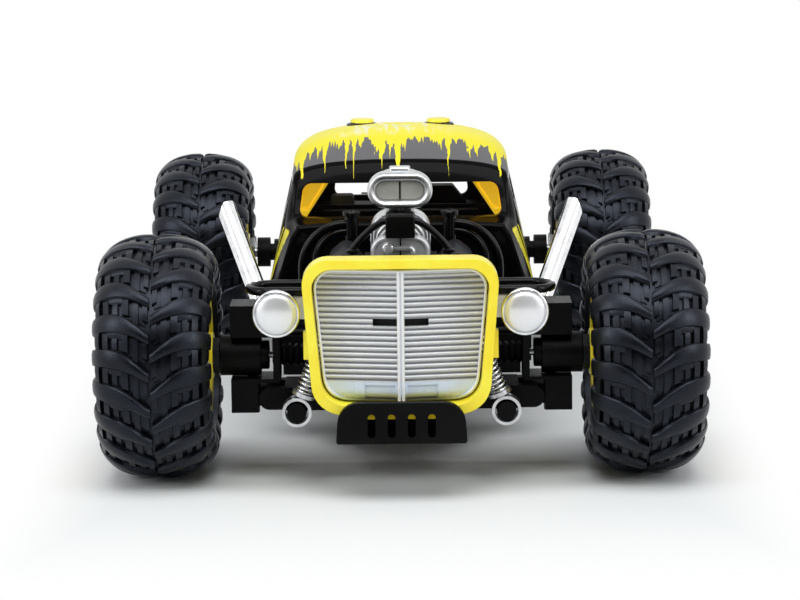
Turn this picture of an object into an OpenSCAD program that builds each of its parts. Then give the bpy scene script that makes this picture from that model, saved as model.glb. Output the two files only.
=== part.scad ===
// Radio controlled hot rod buggy with four driven wheels, sprung at both ends.
// Millimetres, +Z up, nose towards -Y, origin on the ground under the middle of the car.

/* [Layout] */
// Distance between the front and rear axle lines
wheelbase = 256; // [250:1:270]
// Distance between the tyre centre planes
track = 190; // [188:1:196]
// Reach of the skid bumper ahead of the front axle
nose_reach = 52; // [51:0.5:56]
// Reach of the rear bar behind the rear axle
tail_reach = 52; // [50:0.5:58]

/* [Wheels] */
// Tyre outside diameter
tyre_d = 95; // [92:0.5:98]
// Tyre width
tyre_w = 46; // [44:0.5:47]
// Tread lugs on each half of a tyre
lug_count = 20; // [16:1:24]
// Height of the tread lugs
lug_h = 3.4; // [2:0.1:4]
// Diameter of the tyre seat on the rim
rim_d = 52; // [49:0.5:55]
// Round holes in each wheel disc
disc_holes = 8; // [5:1:9]
// Diameter of the wheel axles
axle_d = 4.8; // [4:0.1:5]
// Width across the flats of the wheel drive hex
hex_af = 12; // [10:0.1:13]

/* [Front suspension] */
// Sideways place of the arms' inner pins
arm_in_x = 15; // [14.5:0.25:16]
// Height between the lower and upper arm pins
arm_spread = 31; // [30.5:0.25:32]
// Diameter of all hinge pins
pin_d = 3; // [2.6:0.1:3.2]
// Fore and aft width of the lower arms
arm_w = 22; // [18:0.5:23]
// Diameter of the knuckle barrels
knuckle_d = 15.8; // [14.5:0.1:16]
// Distance from the kingpin back to the steering ball
steer_arm = 18; // [17.5:0.25:19]

/* [Shocks and springs] */
// Outside diameter of the spring coil
spring_d = 7.6; // [7:0.1:8.2]
// Diameter of the spring wire
spring_wire = 1; // [0.8:0.05:1.1]
// Turns of each spring
spring_turns = 19; // [14:1:20]
// Diameter of the shock cylinder
shock_d = 4.6; // [4:0.1:4.8]
// Diameter of the piston rod
rod_d = 2.4; // [2:0.1:2.6]

/* [Nose] */
// Width of the grille surround at its shoulders
grille_w = 74.8; // [72:0.2:76]
// Width of the grille surround near its foot
grille_foot_w = 65.6; // [62:0.2:67]
// Width of the surround's bar
surround_bar = 3.6; // [2.6:0.1:4]
// Slats in the grille
slat_count = 19; // [12:1:20]
// Headlight diameter
lamp_d = 18; // [15:0.2:19]
// Width of the skid bumper plate
bumper_w = 49; // [44:0.5:54]
// Slots in the skid bumper
bumper_slots = 4; // [2:1:5]

/* [Engine and body] */
// Width of the intake scoop
scoop_w = 26; // [23:0.5:28]
// Height of the intake scoop
scoop_h = 14.4; // [13:0.2:16]
// Diameter of the exhaust stacks
stack_d = 8; // [7:0.1:8.4]
// Diameter of the frame tubes
tube_d = 4; // [3.4:0.1:4.2]
// Wall of the cab shell
cab_wall = 2; // [1.6:0.1:2.4]
// Wall of the chassis tub
tub_wall = 2; // [1.6:0.1:2.4]

/* [Drive] */
// Tooth module of the spur pair
spur_module = 0.8; // [0.76:0.01:0.84]
// Mean radius of the crown gears' teeth
crown_r = 10.5; // [10:0.1:10.6]
// Diameter of the drive shafts
drive_d = 4; // [3.4:0.1:4.2]

/* [Hidden] */
$fn = 48;

// Clearances: running shafts and pins, sliding seats, and open air between moving parts
run_gap = 0.05;
seat_gap = 0.1;
air_gap = 0.4;

// Axle lines, and lengths that stretch with the wheelbase
front_y = -wheelbase / 2;
rear_y = wheelbase / 2;
hub_z = tyre_d / 2;
wheel_x = track / 2;
function along(d) = d * wheelbase / 256;

// Wheel sizes, from the wheel's centre plane, outwards positive
rim_r = rim_d / 2;
rim_wall = 2;
lip_h = 2;
lip_t = 2;
rim_half = tyre_w / 2 - 3;
hub_r = 9;
hub_in = 22;
disc_out = 17;
disc_t = 3.5;
hole_r = 3.2;
hole_ring_r = (hub_r + rim_r - rim_wall) / 2;
hex_deep = 6;
axle_r = axle_d / 2;
axle_end = 21;
nut_af = 7;
sidewall_h = 16;
tread_power = 2.4;
lug_seam = 0.8;
lug_rise = 8;
lug_wide = 7.2;

// Front corner: kingpin, hinge pins and drive joints
king_inset = 37;
hinge_inset = 7;
king_x = wheel_x - king_inset;
hinge_x = king_x - hinge_inset;
arm_len = hinge_x - arm_in_x;
joint_x = king_x - arm_len;
low_w = -arm_spread / 2;
up_w = arm_spread / 2;
pin_r = pin_d / 2;
boss_r = 4.2;
up_boss_r = 3.5;
arm_t = 9;
up_arm_t = 5.6;
up_arm_w = 12;
fork_in = 5.6;
lug_half = 5;
up_lug_half = 3.2;
jaw_gap = 0.3;
jaw_half = 8;
jaw_out = 8;
jaw_low_h = 13.2;
jaw_up_h = 12.4;
web_in = 11;
web_t = 2.6;
web_wide = 2.6;
shelf_t = 1.6;
king_r = 2;
king_deep = 5.5;
knuckle_r = knuckle_d / 2;
knuckle_in = 3.5;
knuckle_out = 12;
cup_r = 4.6;
ball_r = 3;
cup_gap = 0.3;
cup_reach = 3.6;
half_shaft_r = 1.3;

// Steering line behind the front axle
steer_w = 5.2;
eye_h = 3;
eye_r = 3.9;
eye_bore_r = 2.6;
inner_bore_r = 1.9;
tie_r = 1.4;
stud_r = 1.2;
rack_half = 16.5;
rack_deep = 5;
rack_low = 2.4;
rack_top = 6.4;
tongue_top = 2.8;
horn_x = 12;
horn_len = 16;
horn_t = 2.4;
horn_low = 8.6;
horn_r = 3;
horn_pin_r = 1.15;
horn_slot = 0.15;
notch_half = 8;
servo_half = 6;
servo_long = 22;
servo_shaft_r = 2;

// Shocks: places of the front eyes across the car, then sizes along a shock from its lower eye
shock_v = -22;
low_eye = [hinge_x - 11, -17.8];
top_eye = [20, 32.5];
ring_r = 5.65;
ring_bore = 4.5;
ring_t = 7;
bush_r = 3.75;
top_ring_r = 4;
perch_r = 4.6;
perch_t = 1.5;
perch_at = 6.2;
neck_r = 2.2;
rod_reach = 36;
cylinder_from = 23;
cap_len = 11.5;
cap_r = 3.3;
spring_r = (spring_d - spring_wire) / 2;
bend_r = 0.9;
front_shock_len = norm(top_eye - low_eye);

// Gear drums, bevel gears and spur pair
drum_r = 14;
drum_half = 10.4;
drum_in_r = 12.2;
drum_in_half = 8.9;
spool_r = 3.5;
crown_teeth = 30;
bevel_teeth = 10;
crown_face = 2;
crown_t = 3;
bevel_m = 2 * crown_r / crown_teeth;
bevel_r = bevel_m * bevel_teeth / 2;
bevel_in = crown_r - crown_face / 2 - 0.2;
bevel_out = crown_r + crown_face / 2 - 0.4;
spur_teeth = 36;
pinion_teeth = 12;
spur_r = spur_module * spur_teeth / 2;
pinion_r = spur_module * pinion_teeth / 2;
addendum = 0.85;
dedendum = 1.2;
tooth_share = 0.72;
flank = 0.5;
spur_t = 6;
drive_r = drive_d / 2;
motor_turn = -18;
motor_r = 11;
motor_len = 34;
motor_shaft_r = 1;
motor_boss_r = 3;
motor_x = (spur_r + pinion_r) * cos(motor_turn);
motor_w = (spur_r + pinion_r) * sin(motor_turn);

// Front gearbox, its lugs and the shock tower, from the front axle
base_half = 10;
lug_t = 3.2;
tower_v = -15;
tower_t = 3;
tower_half = 26;
tower_top = 38;
tower_deep = 12;
tower_foot = base_half + 3;
guide_half = 2;
guide_x = 5.5;
screw_r = 1;
screw_head_r = 2;
screw_head_h = 1.5;
screw_x = 9;
tower_screw_w = [16, 30];

// Chassis tub, from the front axle and the axle height
tub_floor = -21.5;
tub_top = 9.5;
tub_v = 25;
tub_wide_v = 48;
tub_nose_half = 21;
tub_half = 36;
tub_tail_half = 24;
rail_half = 46;
rail_t = 3;
rail_v = 60;
guard_t = 4;
guard_half = [48.6, 53];
guard_low = [-19.5, -14.5];
sill_half = 51.5;
sill_v = along(101);
motor_wall_v = along(132);
motor_wall_t = 2.4;
spur_v = motor_wall_v + motor_wall_t + 1.6;
swing_back = 86;
swing_y = rear_y - swing_back;
tub_end_y = swing_y - 8;
swing_in = 23.5;
swing_out = 29.5;
swing_eye_r = 5;
swing_lug_t = 3;

// Rear frame, from the rear axle
frame_in = 16.9;
frame_out = 19.9;
frame_low = 14.5;
frame_high = 21.5;
rear_shock_x = 34.6;
rear_low_eye = [20, 3];
rear_top_eye = [-30, 27];
rear_shock_len = norm(rear_top_eye - rear_low_eye);
cross_u = [-34, 20];
cross_r = 2.2;
rear_bar_half = 46;
rear_screw_w = 2;

// Nose pieces, from the front axle
bumper_v = -nose_reach;
bumper_t = 3.5;
bumper_back_half = 15.4;
bumper_low = -24.3;
bumper_high = -8.8;
surround_v = -46;
surround_back = -35;
surround_top = 44.2;
surround_low = -14.5;
grille_gap = 0.2;
prow = 6;
slat_top = 38.2;
slat_low = -2.2;
slat_t = 1.25;
vent_half = 10.4;
vent_w = 18.6;
vent_h = 2.6;
bracket_v = -31.5;
bracket_t = 3;
bracket_low = 19.5;
bracket_high = 28.2;
peg_x = 8;
peg_r = 2.5;
lamp_x = 46.6;
lamp_w = 22.8;
lamp_deep = 7.4;
lamp_dome = 2;

// Engine, intake, frame tubes and stacks, from the front axle
block_half = 15;
block_low = 12.5;
block_high = 28;
block_v = [22, 76];
bank_x = 12;
bank_turn = 38;
bank_wide = 12;
bank_h = 19;
bank_round = 4;
blower_v = [34, 64];
blower_half = 11;
blower_top = 48;
blower_round = 8;
rib_count = 6;
rib_h = 1.2;
rib_t = 2.4;
cover_half = 12.4;
cover_top = 41.5;
cover_t = 6;
lever_x = 5;
lever_w = 37;
drive_box_half = 5.8;
drive_box_v = 20;
drive_box_h = 9;
brace_out = 19.4;
brace_low = 36.2;
scoop_v = [30, 54];
scoop_neck = 4.3;
scoop_tail_h = 12;
scoop_tail_w = 19;
scoop_w0 = blower_top + scoop_neck + scoop_h / 2;
drive_box_high = blower_top + scoop_neck - 1.3;
hoop_v = rail_v + 6;
hoop_x = 40.5;
hoop_r = 18;
hoop_w = 26;
hoop_step = 6;
frame_post_x = 20;
frame_post_top = 46;
nerf_w = bracket_high + tube_d / 2 + seat_gap;
nerf_v = [-31, -13.5];
nerf_tip = 59;
stack_foot = [54.2, 64, 0];
stack_tip = [73.2, 88, 46.5];
stack_wall = 0.8;

// Cab shell stations behind the front axle: half widths and heights above the axle line
// offset, foot half width, foot, sill half width, sill, eave half width, eave, crown
cab_rows = [
    [ 90, 53.0, 11.0, 46.0, 33.0, 44.0, 36.0, 38.0],
    [101, 56.5, 5.5, 48.5, 36.0, 45.5, 38.5, 40.5],
    [112, 57.2, 5.5, 49.8, 37.0, 45.6, 54.0, 61.5],
    [128, 57.5, 5.5, 50.5, 37.0, 46.2, 55.0, 67.0],
    [156, 57.5, 5.5, 51.0, 36.5, 46.6, 56.0, 71.0],
    [182, 57.0, 5.5, 50.5, 36.0, 46.0, 55.0, 70.0],
    [198, 55.5, 6.0, 49.0, 35.0, 44.5, 52.0, 66.0],
    [208, 52.0, 8.0, 46.0, 34.0, 42.0, 49.0, 60.0],
    [214, 47.0, 11.0, 42.5, 33.5, 39.0, 46.0, 53.5]
];
roof_power = 2.5;
roof_steps = 6;
pod_x = 17;
pod_r = 7;
pod_v = 178;
pod_w = [66, 72.2];

// Cab windows: corners across the car or along it, and heights above the axle line
screen_window = [[41, 52.6], [-41, 52.6], [-43, 39], [43, 39]];
back_window = [[29, 49], [-29, 49], [-31, 33], [31, 33]];
door_window = [[along(120), 52], [along(114), 39], [along(160), 39], [along(160), 53]];
quarter_window = [[along(166), 53], [along(166), 39], [along(194), 38], [along(190), 50]];

// Interior tray, dash, seats and steering wheel
tray_half = 51;
tray_t = 1.8;
dash_half = 42;
dash_t = 7;
dash_top = 36;
bulkhead_top = 36;
seat_x = [8, 34];
helm_x = 20;
helm_r = 8.4;

// Moves, turned pieces and plates

module at_front() {
    translate([0, front_y, hub_z]) children();
}

module at_rear() {
    translate([0, rear_y, hub_z]) children();
}

// The car's left is +X, and the right side is its mirror image
module on_side(s) {
    if (s > 0) children();
    else mirror([1, 0, 0]) children();
}

module both_sides() {
    for (s = [1, -1]) on_side(s) children();
}

module rod_x(x0, x1, r) {
    translate([x0, 0, 0]) rotate([0, 90, 0]) cylinder(h = x1 - x0, r = r);
}

module rod_y(y0, y1, r) {
    translate([0, y0, 0]) rotate([-90, 0, 0]) cylinder(h = y1 - y0, r = r);
}

module rod_z(z0, z1, r) {
    translate([0, 0, z0]) cylinder(h = z1 - z0, r = r);
}

module box(a, b) {
    translate(a) cube(b - a);
}

// Hexagon prism along X, given across its flats
module hex_x(x0, x1, af) {
    translate([x0, 0, 0]) rotate([0, 90, 0]) cylinder(h = x1 - x0, d = af / cos(30), $fn = 6);
}

// Solid of revolution about X or Y from points of radius and place along the axis
module turned_x(points) {
    rotate([0, 90, 0]) rotate_extrude() polygon(points);
}

module turned_y(points) {
    rotate([-90, 0, 0]) rotate_extrude() polygon(points);
}

// Plate in the XZ plane from y0 to y1
module plate_y(y0, y1) {
    translate([0, y1, 0]) rotate([90, 0, 0]) linear_extrude(y1 - y0) children();
}

// Plate in the YZ plane from x0 to x1
module plate_x(x0, x1) {
    translate([x0, 0, 0]) rotate([90, 0, 90]) linear_extrude(x1 - x0) children();
}

// Outlines with rounded corners

function unit(v) = v / norm(v);

function corner_arc(a, p, b, r, n) =
    let (u = unit(a - p), w = unit(b - p), half = acos(u * w) / 2)
    let (c = p + unit(u + w) * r / sin(half), s = p + u * r / tan(half), e = p + w * r / tan(half))
    let (a0 = atan2(s[1] - c[1], s[0] - c[0]), turn = atan2(e[1] - c[1], e[0] - c[0]) - a0)
    let (sweep = turn > 180 ? turn - 360 : turn < -180 ? turn + 360 : turn)
    [for (k = [0:n]) c + r * [cos(a0 + sweep * k / n), sin(a0 + sweep * k / n)]];

function rounded(points, radii, n = 6) =
    let (m = len(points))
    [for (i = [0:m - 1])
        each corner_arc(points[(i + m - 1) % m], points[i], points[(i + 1) % m], radii[i], n)];

// Upright slot with round ends, by its middle, width and height
module slot(x, z, w, h) {
    translate([x, z]) square([w, h - w], center = true);
    for (s = [-1, 1]) translate([x, z + s * (h - w) / 2]) circle(d = w);
}

// Tubes swept along points, with a side direction given at each point

function tangent(p, i) = unit(p[min(i + 1, len(p) - 1)] - p[max(i - 1, 0)]);

function ring_at(p, dirs, r, sides, i) =
    let (t = tangent(p, i), n = unit(dirs[i] - t * (dirs[i] * t)), b = cross(t, n))
    [for (k = [0:sides - 1]) p[i] + r * (cos(360 * k / sides) * n + sin(360 * k / sides) * b)];

module swept_tube(p, dirs, r, sides) {
    m = len(p);
    points = [for (i = [0:m - 1]) each ring_at(p, dirs, r, sides, i)];
    walls = [for (i = [0:m - 2], k = [0:sides - 1])
        let (a = i * sides + k, b = i * sides + (k + 1) % sides)
        each [[a, a + sides, b], [b, a + sides, b + sides]]];
    ends = [for (k = [1:sides - 2])
        each [[0, k, k + 1], [(m - 1) * sides, (m - 1) * sides + k + 1, (m - 1) * sides + k]]];
    polyhedron(points, concat(walls, ends), convexity = 10);
}

// A tube whose route lies in one plane, so the plane's normal serves at every point
module plane_tube(p, normal) {
    swept_tube(p, [for (q = p) normal], tube_d / 2, 12);
}

// Springs: a helix from z0 to z1 whose ends turn straight onto their seats

function helix_rise(z0, z1) = z1 - z0 - 2 * (bend_r + spring_wire);

function spring_route(z0, z1) =
    let (foot = bend_r + spring_wire, rings = 8 * spring_turns)
    concat(
        [[spring_r, -bend_r, z0], [spring_r, -bend_r, z0 + spring_wire]],
        [for (a = [30, 60]) [spring_r, -bend_r * cos(a), z0 + spring_wire + bend_r * sin(a)]],
        [for (i = [0:rings])
            [spring_r * cos(45 * i), spring_r * sin(45 * i), z0 + foot + helix_rise(z0, z1) * i / rings]],
        [for (a = [30, 60]) [spring_r, bend_r * sin(a), z1 - foot + bend_r * (1 - cos(a))]],
        [[spring_r, bend_r, z1 - spring_wire], [spring_r, bend_r, z1]]);

function least_gap(p) =
    min([for (i = [0:len(p) - 6], j = [i + 5:len(p) - 1]) norm(p[j] - p[i])]) - spring_wire;

module spring_coil(z0, z1, name) {
    route = spring_route(z0, z1);
    dirs = [for (q = route) [q[0], abs(q[1]) > bend_r || q[0] < spring_r - bend_r ? q[1] : 0, 0]];
    echo(str(name, " least gap between turns: ", least_gap(route), " mm"));
    swept_tube(route, dirs, spring_wire / 2, 6);
}

// Wheels, about the X axis with the outside towards +X

function tread_curve(r, half, drop, n) =
    [for (k = [-n:n]) let (a = 90 * (1 - k / n), c = cos(a), s = max(sin(a), 0))
        [r - drop + drop * pow(s, 2 / tread_power), half * sign(c) * pow(abs(c), 2 / tread_power)]];

module tyre_form(r, half, drop) {
    bead = rim_half - lip_t - seat_gap;
    seat = rim_r + seat_gap;
    rise = rim_r + lip_h + jaw_gap;
    turned_x(concat([[seat, -bead], [rise, -bead]], tread_curve(r, half, drop, 6),
        [[rise, bead], [seat, bead]]));
}

// Plan of one lug: it climbs from the seam to the shoulder and widens on the way
function lug_plan(half) = [
    [lug_seam, 0], [half * 0.35, 1.2], [half * 0.6, lug_rise - lug_wide * 0.8],
    [half + 1, lug_rise - lug_wide * 0.7], [half + 1, lug_rise + lug_wide * 0.3],
    [half * 0.55, lug_rise], [half * 0.3, lug_rise * 0.85], [lug_seam, 4.4]
];

module tyre() {
    step = 360 / lug_count;
    color("#1c1d1f") {
        tyre_form(hub_z - lug_h, tyre_w / 2 - 2, sidewall_h - 1);
        intersection() {
            tyre_form(hub_z, tyre_w / 2, sidewall_h);
            for (i = [0:lug_count - 1]) {
                rotate([i * step, 0, 0]) lug();
                rotate([(i + 0.5) * step, 0, 0]) mirror([1, 0, 0]) lug();
            }
        }
    }
}

module lug() {
    translate([0, 0, rim_r + 4]) linear_extrude(hub_z - rim_r) polygon(lug_plan(tyre_w / 2));
}

module rim() {
    bore = axle_r + run_gap;
    bead = rim_half - lip_t;
    inside = rim_r - rim_wall;
    color("#f2c500") difference() {
        turned_x([
            [bore, -hub_in], [hub_r, -hub_in], [hub_r, disc_out - disc_t], [inside, disc_out - disc_t],
            [inside, -rim_half], [rim_r + lip_h, -rim_half], [rim_r + lip_h, -bead], [rim_r, -bead],
            [rim_r, bead], [rim_r + lip_h, bead], [rim_r + lip_h, rim_half], [inside, rim_half],
            [inside, disc_out], [bore, disc_out]
        ]);
        hex_x(-hub_in - 1, hex_deep - hub_in, hex_af + 2 * seat_gap);
        for (i = [0:disc_holes - 1])
            rotate([i * 360 / disc_holes, 0, 0]) translate([0, 0, hole_ring_r])
                rod_x(disc_out - disc_t - 1, disc_out + 1, hole_r);
    }
}

// Drive hex and nut that hold a wheel on its axle
module wheel_drive(x) {
    hex_x(x - hub_in - 2.6, x - hub_in + hex_deep - seat_gap, hex_af);
    difference() {
        hex_x(x + disc_out, x + axle_end, nut_af);
        rod_x(x, x + axle_end + 1, axle_r + 0.02);
    }
}

module front_wheel_place(s) {
    at_front() on_side(s) translate([wheel_x, 0, 0]) children();
}

module rear_wheel_place(s) {
    at_rear() on_side(s) translate([wheel_x, 0, 0]) children();
}

module front_tyre(s) {
    front_wheel_place(s) tyre();
}

module front_rim(s) {
    front_wheel_place(s) rim();
}

module rear_tyre(s) {
    rear_wheel_place(s) tyre();
}

module rear_rim(s) {
    rear_wheel_place(s) rim();
}

// Gears

// One straight tooth pointing to -X from a root radius, its flanks leaning by the flank share
module tooth(pitch_r, m) {
    half = PI * m / 4 * tooth_share;
    root = pitch_r - dedendum * m;
    tip = pitch_r + addendum * m;
    polygon([
        [-root + 0.3, -half - flank * dedendum * m], [-tip, -half + flank * addendum * m],
        [-tip, half - flank * addendum * m], [-root + 0.3, half + flank * dedendum * m]
    ]);
}

// Gear about Y with a tooth towards -X when the turn is zero
module gear_y(y0, y1, teeth, m, turn) {
    r = m * teeth / 2;
    rod_y(y0, y1, r - dedendum * m);
    for (i = [0:teeth - 1])
        rotate([0, turn + i * 360 / teeth, 0]) plate_y(y0, y1) tooth(r, m);
}

// Crown gear about X, teeth towards +X, with a tooth gap on the +Y side
module crown_gear() {
    half = PI * bevel_m / 4 * tooth_share;
    root = -bevel_r - dedendum * bevel_m;
    tip = -bevel_r + addendum * bevel_m;
    rod_x(root - crown_t, root, crown_r + crown_face / 2);
    for (i = [0:crown_teeth - 1])
        rotate([(i + 0.5) * 360 / crown_teeth, 0, 0])
            plate_y(crown_r - crown_face / 2, crown_r + crown_face / 2)
                polygon([
                    [root - 0.3, -half - flank * dedendum * bevel_m],
                    [tip, -half + flank * addendum * bevel_m],
                    [tip, half - flank * addendum * bevel_m],
                    [root - 0.3, half + flank * dedendum * bevel_m]
                ]);
}

// Cup that drives the ball of a dog bone shaft, with its mouth at x1
module drive_cup_x(x0, x1, ball_x) {
    difference() {
        rod_x(x0, x1, cup_r);
        rod_x(ball_x - ball_r - cup_gap, x1 + 1, ball_r + cup_gap);
    }
}

// Front gearbox, arms and knuckles

module pin_lug(x, w, v0, v1, r) {
    translate([x, 0, w]) rod_y(v0, v1, r);
    box([base_half - 2, v0, w - r], [x, v1, w + r]);
}

module front_gearbox() {
    low_lug = arm_w / 2 + jaw_gap;
    up_lug = up_arm_w / 2 + jaw_gap;
    color("#1d1d1d") at_front() difference() {
        union() {
            rod_x(-drum_half, drum_half, drum_r);
            rod_y(drum_in_r, drum_r + 1, cup_r);
            box([-base_half, -low_lug - lug_t, tub_floor], [base_half, low_lug + lug_t, -drum_r + 4]);
            box([-base_half + 1, drum_in_r, tub_floor], [base_half - 1, tub_v, -4.5]);
            box([-base_half + 1, -up_lug - lug_t, drum_r - 3],
                [base_half - 1, up_lug + lug_t, up_w + up_boss_r]);
            both_sides() {
                pin_lug(arm_in_x, low_w, low_lug, low_lug + lug_t, boss_r);
                pin_lug(arm_in_x, low_w, -low_lug - lug_t, -low_lug, boss_r);
                pin_lug(arm_in_x, up_w, up_lug, up_lug + lug_t, up_boss_r);
                pin_lug(arm_in_x, up_w, -up_lug - lug_t, -up_lug, up_boss_r);
                translate([arm_in_x, 0, low_w]) rod_y(-low_lug - lug_t, low_lug + lug_t, pin_r);
                translate([arm_in_x, 0, up_w]) rod_y(-up_lug - lug_t, up_lug + lug_t, pin_r);
                translate([top_eye[0], 0, top_eye[1]]) rod_y(shock_v - ring_t / 2 - 1, tower_v + 1, pin_r);
                box([guide_x - guide_half, steer_arm - rack_deep / 2, -5],
                    [guide_x + guide_half, steer_arm + rack_deep / 2, rack_low - seat_gap]);
            }
            plate_y(tower_v, tower_v + tower_t) polygon([
                [-tower_half, tower_top], [-tower_half, tower_top - tower_deep],
                [-tower_foot, drum_r - 2], [-tower_foot, 1 - drum_r], [tower_foot, 1 - drum_r],
                [tower_foot, drum_r - 2], [tower_half, tower_top - tower_deep], [tower_half, tower_top]
            ]);
        }
        rod_x(-drum_in_half, drum_in_half, drum_in_r);
        rod_x(-drum_half - 1, drum_half + 1, spool_r + run_gap);
        rod_y(0, tub_v, drive_r + run_gap);
        for (p = tower_screws()) translate([p[0], 0, p[1]])
            rod_y(tower_v - 1, tower_v + tower_t + 1, screw_r + seat_gap);
    }
}

module front_lower_arm(s) {
    half = arm_w / 2;
    color("#1b1b1b") at_front() on_side(s) difference() {
        union() {
            box([arm_in_x, -half, low_w - arm_t / 2], [hinge_x - fork_in, half, low_w + arm_t / 2]);
            translate([arm_in_x, 0, low_w]) rod_y(-half, half, boss_r);
            for (v = [[-half, -lug_half - jaw_gap], [lug_half + jaw_gap, half]]) {
                translate([hinge_x, 0, low_w]) rod_y(v[0], v[1], boss_r);
                box([hinge_x - fork_in - 1, v[0], low_w - boss_r], [hinge_x, v[1], low_w + boss_r]);
            }
            translate([hinge_x, 0, low_w]) rod_y(-half, half, pin_r);
            translate([low_eye[0], 0, low_eye[1]]) rod_y(shock_v - ring_t / 2 - 1, 1 - half, bush_r);
        }
        translate([arm_in_x, 0, low_w]) rod_y(-half - 1, half + 1, pin_r + run_gap);
        box([arm_in_x + 8, 4 - half, low_w - arm_t], [hinge_x - 14, half - 4, low_w + arm_t]);
    }
}

module front_upper_arm(s) {
    half = up_arm_w / 2;
    color("#1b1b1b") at_front() on_side(s) difference() {
        union() {
            box([arm_in_x, -half, up_w - up_arm_t / 2], [hinge_x - fork_in + 0.6, half, up_w + up_arm_t / 2]);
            translate([arm_in_x, 0, up_w]) rod_y(-half, half, up_boss_r);
            for (v = [[-half, -up_lug_half - jaw_gap], [up_lug_half + jaw_gap, half]]) {
                translate([hinge_x, 0, up_w]) rod_y(v[0], v[1], up_boss_r);
                box([hinge_x - fork_in, v[0], up_w - up_arm_t / 2], [hinge_x, v[1], up_w + up_arm_t / 2]);
            }
            translate([hinge_x, 0, up_w]) rod_y(-half, half, pin_r);
        }
        translate([arm_in_x, 0, up_w]) rod_y(-half - 1, half + 1, pin_r + run_gap);
        box([arm_in_x + 8, 3 - half, up_w - up_arm_t], [hinge_x - 12, half - 3, up_w + up_arm_t]);
    }
}

module hub_carrier(s) {
    face = knuckle_r + jaw_gap;
    web_x = king_x - web_in;
    color("#202020") at_front() on_side(s) difference() {
        union() {
            box([hinge_x + boss_r + jaw_gap, -jaw_half, -face - jaw_low_h],
                [king_x + jaw_out, jaw_half, -face]);
            box([hinge_x + up_boss_r + jaw_gap, -jaw_half, face],
                [king_x + jaw_out, jaw_half, face + jaw_up_h]);
            box([web_x, -jaw_half, -face - shelf_t], [king_x, jaw_half, -face]);
            box([web_x, -jaw_half, face], [king_x, jaw_half, face + shelf_t]);
            for (v = [-jaw_half, jaw_half - web_wide])
                box([web_x, v, -face - shelf_t], [web_x + web_t, v + web_wide, face + shelf_t]);
            translate([king_x, 0, 0]) rod_z(-face - jaw_low_h - 1.2, -face - 1, king_r + 0.6);
            translate([hinge_x, 0, low_w]) rod_y(-lug_half, lug_half, boss_r);
            box([hinge_x, -lug_half, low_w - boss_r + 0.4], [king_x, lug_half, low_w + boss_r - 0.4]);
            translate([hinge_x, 0, up_w]) rod_y(-up_lug_half, up_lug_half, up_boss_r);
            box([hinge_x, -up_lug_half, up_w - up_boss_r + 0.4],
                [king_x, up_lug_half, up_w + up_boss_r - 0.4]);
        }
        for (w = [low_w, up_w]) translate([hinge_x, 0, w]) rod_y(-jaw_half, jaw_half, pin_r + run_gap);
        translate([king_x, 0, 0]) rod_z(-face - king_deep, face + king_deep, king_r + run_gap);
    }
}

module steering_knuckle(s) {
    face = knuckle_r + jaw_gap;
    color("#232323") at_front() on_side(s) difference() {
        union() {
            rod_x(king_x - knuckle_in, king_x + knuckle_out, knuckle_r);
            translate([king_x, 0, 0])
                rod_z(-face - king_deep + seat_gap, face + king_deep - seat_gap, king_r);
            box([king_x - 3, knuckle_r - 3, -1.6], [king_x + 3, steer_arm, tongue_top]);
            translate([king_x, steer_arm, 0]) {
                rod_z(-1.6, tongue_top, 3);
                rod_z(0, steer_w + eye_h / 2 + 0.6, stud_r);
            }
        }
        rod_x(king_x - knuckle_in - 1, king_x + ball_r + 2, cup_r + air_gap);
        rod_x(king_x, king_x + knuckle_out + 1, axle_r + run_gap);
    }
}

module stub_axle(s) {
    color("#c9cbce") at_front() on_side(s) {
        mirror([1, 0, 0]) drive_cup_x(-king_x - ball_r - 1.5, knuckle_in - 0.4 - king_x, -king_x);
        rod_x(king_x + ball_r + 1, wheel_x + axle_end, axle_r);
        wheel_drive(wheel_x);
    }
}

// Side view of a ball on the X axis, between two angles from its inner pole
function ball_arc(x, a0, a1) = [for (i = [0:8]) let (a = a0 + (a1 - a0) * i / 8)
    [ball_r * sin(a), x - ball_r * cos(a)]];

module half_shaft(s) {
    neck = asin(half_shaft_r / ball_r);
    color("#c4c6c9") at_front() on_side(s)
        turned_x(concat(ball_arc(joint_x, 0, 180 - neck), ball_arc(king_x, neck, 180)));
}

module tie_rod(s) {
    color("#2a2a2a") at_front() on_side(s) translate([0, steer_arm, steer_w]) difference() {
        union() {
            rod_x(joint_x, king_x, tie_r);
            for (x = [joint_x, king_x]) translate([x, 0, 0]) rod_z(-eye_h / 2, eye_h / 2, eye_r);
        }
        translate([joint_x, 0, 0]) rod_z(-eye_h, eye_h, inner_bore_r);
        translate([king_x, 0, 0]) rod_z(-eye_h, eye_h, eye_bore_r);
    }
}

module steering_rack() {
    color("#262626") at_front() translate([0, steer_arm, 0]) difference() {
        union() {
            box([-rack_half, -rack_deep / 2, rack_low], [rack_half, rack_deep / 2, rack_top]);
            both_sides() {
                box([rack_half - 2, -rack_deep / 2, tongue_top - 2.8],
                    [joint_x + 3, rack_deep / 2, tongue_top]);
                translate([joint_x, 0, 0]) rod_z(tongue_top - 1, steer_w + eye_h / 2 + 0.6, stud_r);
            }
        }
        box([horn_x - horn_pin_r - horn_slot, -1.6, rack_low - 1],
            [horn_x + horn_pin_r + horn_slot, rack_deep, rack_top + 1]);
    }
}

module servo_horn() {
    pivot_v = steer_arm + horn_len;
    color("#e9e9e6") at_front() translate([horn_x, pivot_v, 0]) difference() {
        union() {
            rod_z(horn_low, horn_low + horn_t, horn_r);
            box([-2, -horn_len, horn_low], [2, 0, horn_low + horn_t]);
            translate([0, -horn_len, 0]) {
                rod_z(horn_low, horn_low + horn_t, 2);
                rod_z(rack_low + 0.6, horn_low + 1, horn_pin_r);
            }
        }
        rod_z(horn_low - 1, horn_low + horn_t + 1, servo_shaft_r + run_gap);
    }
}

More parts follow.
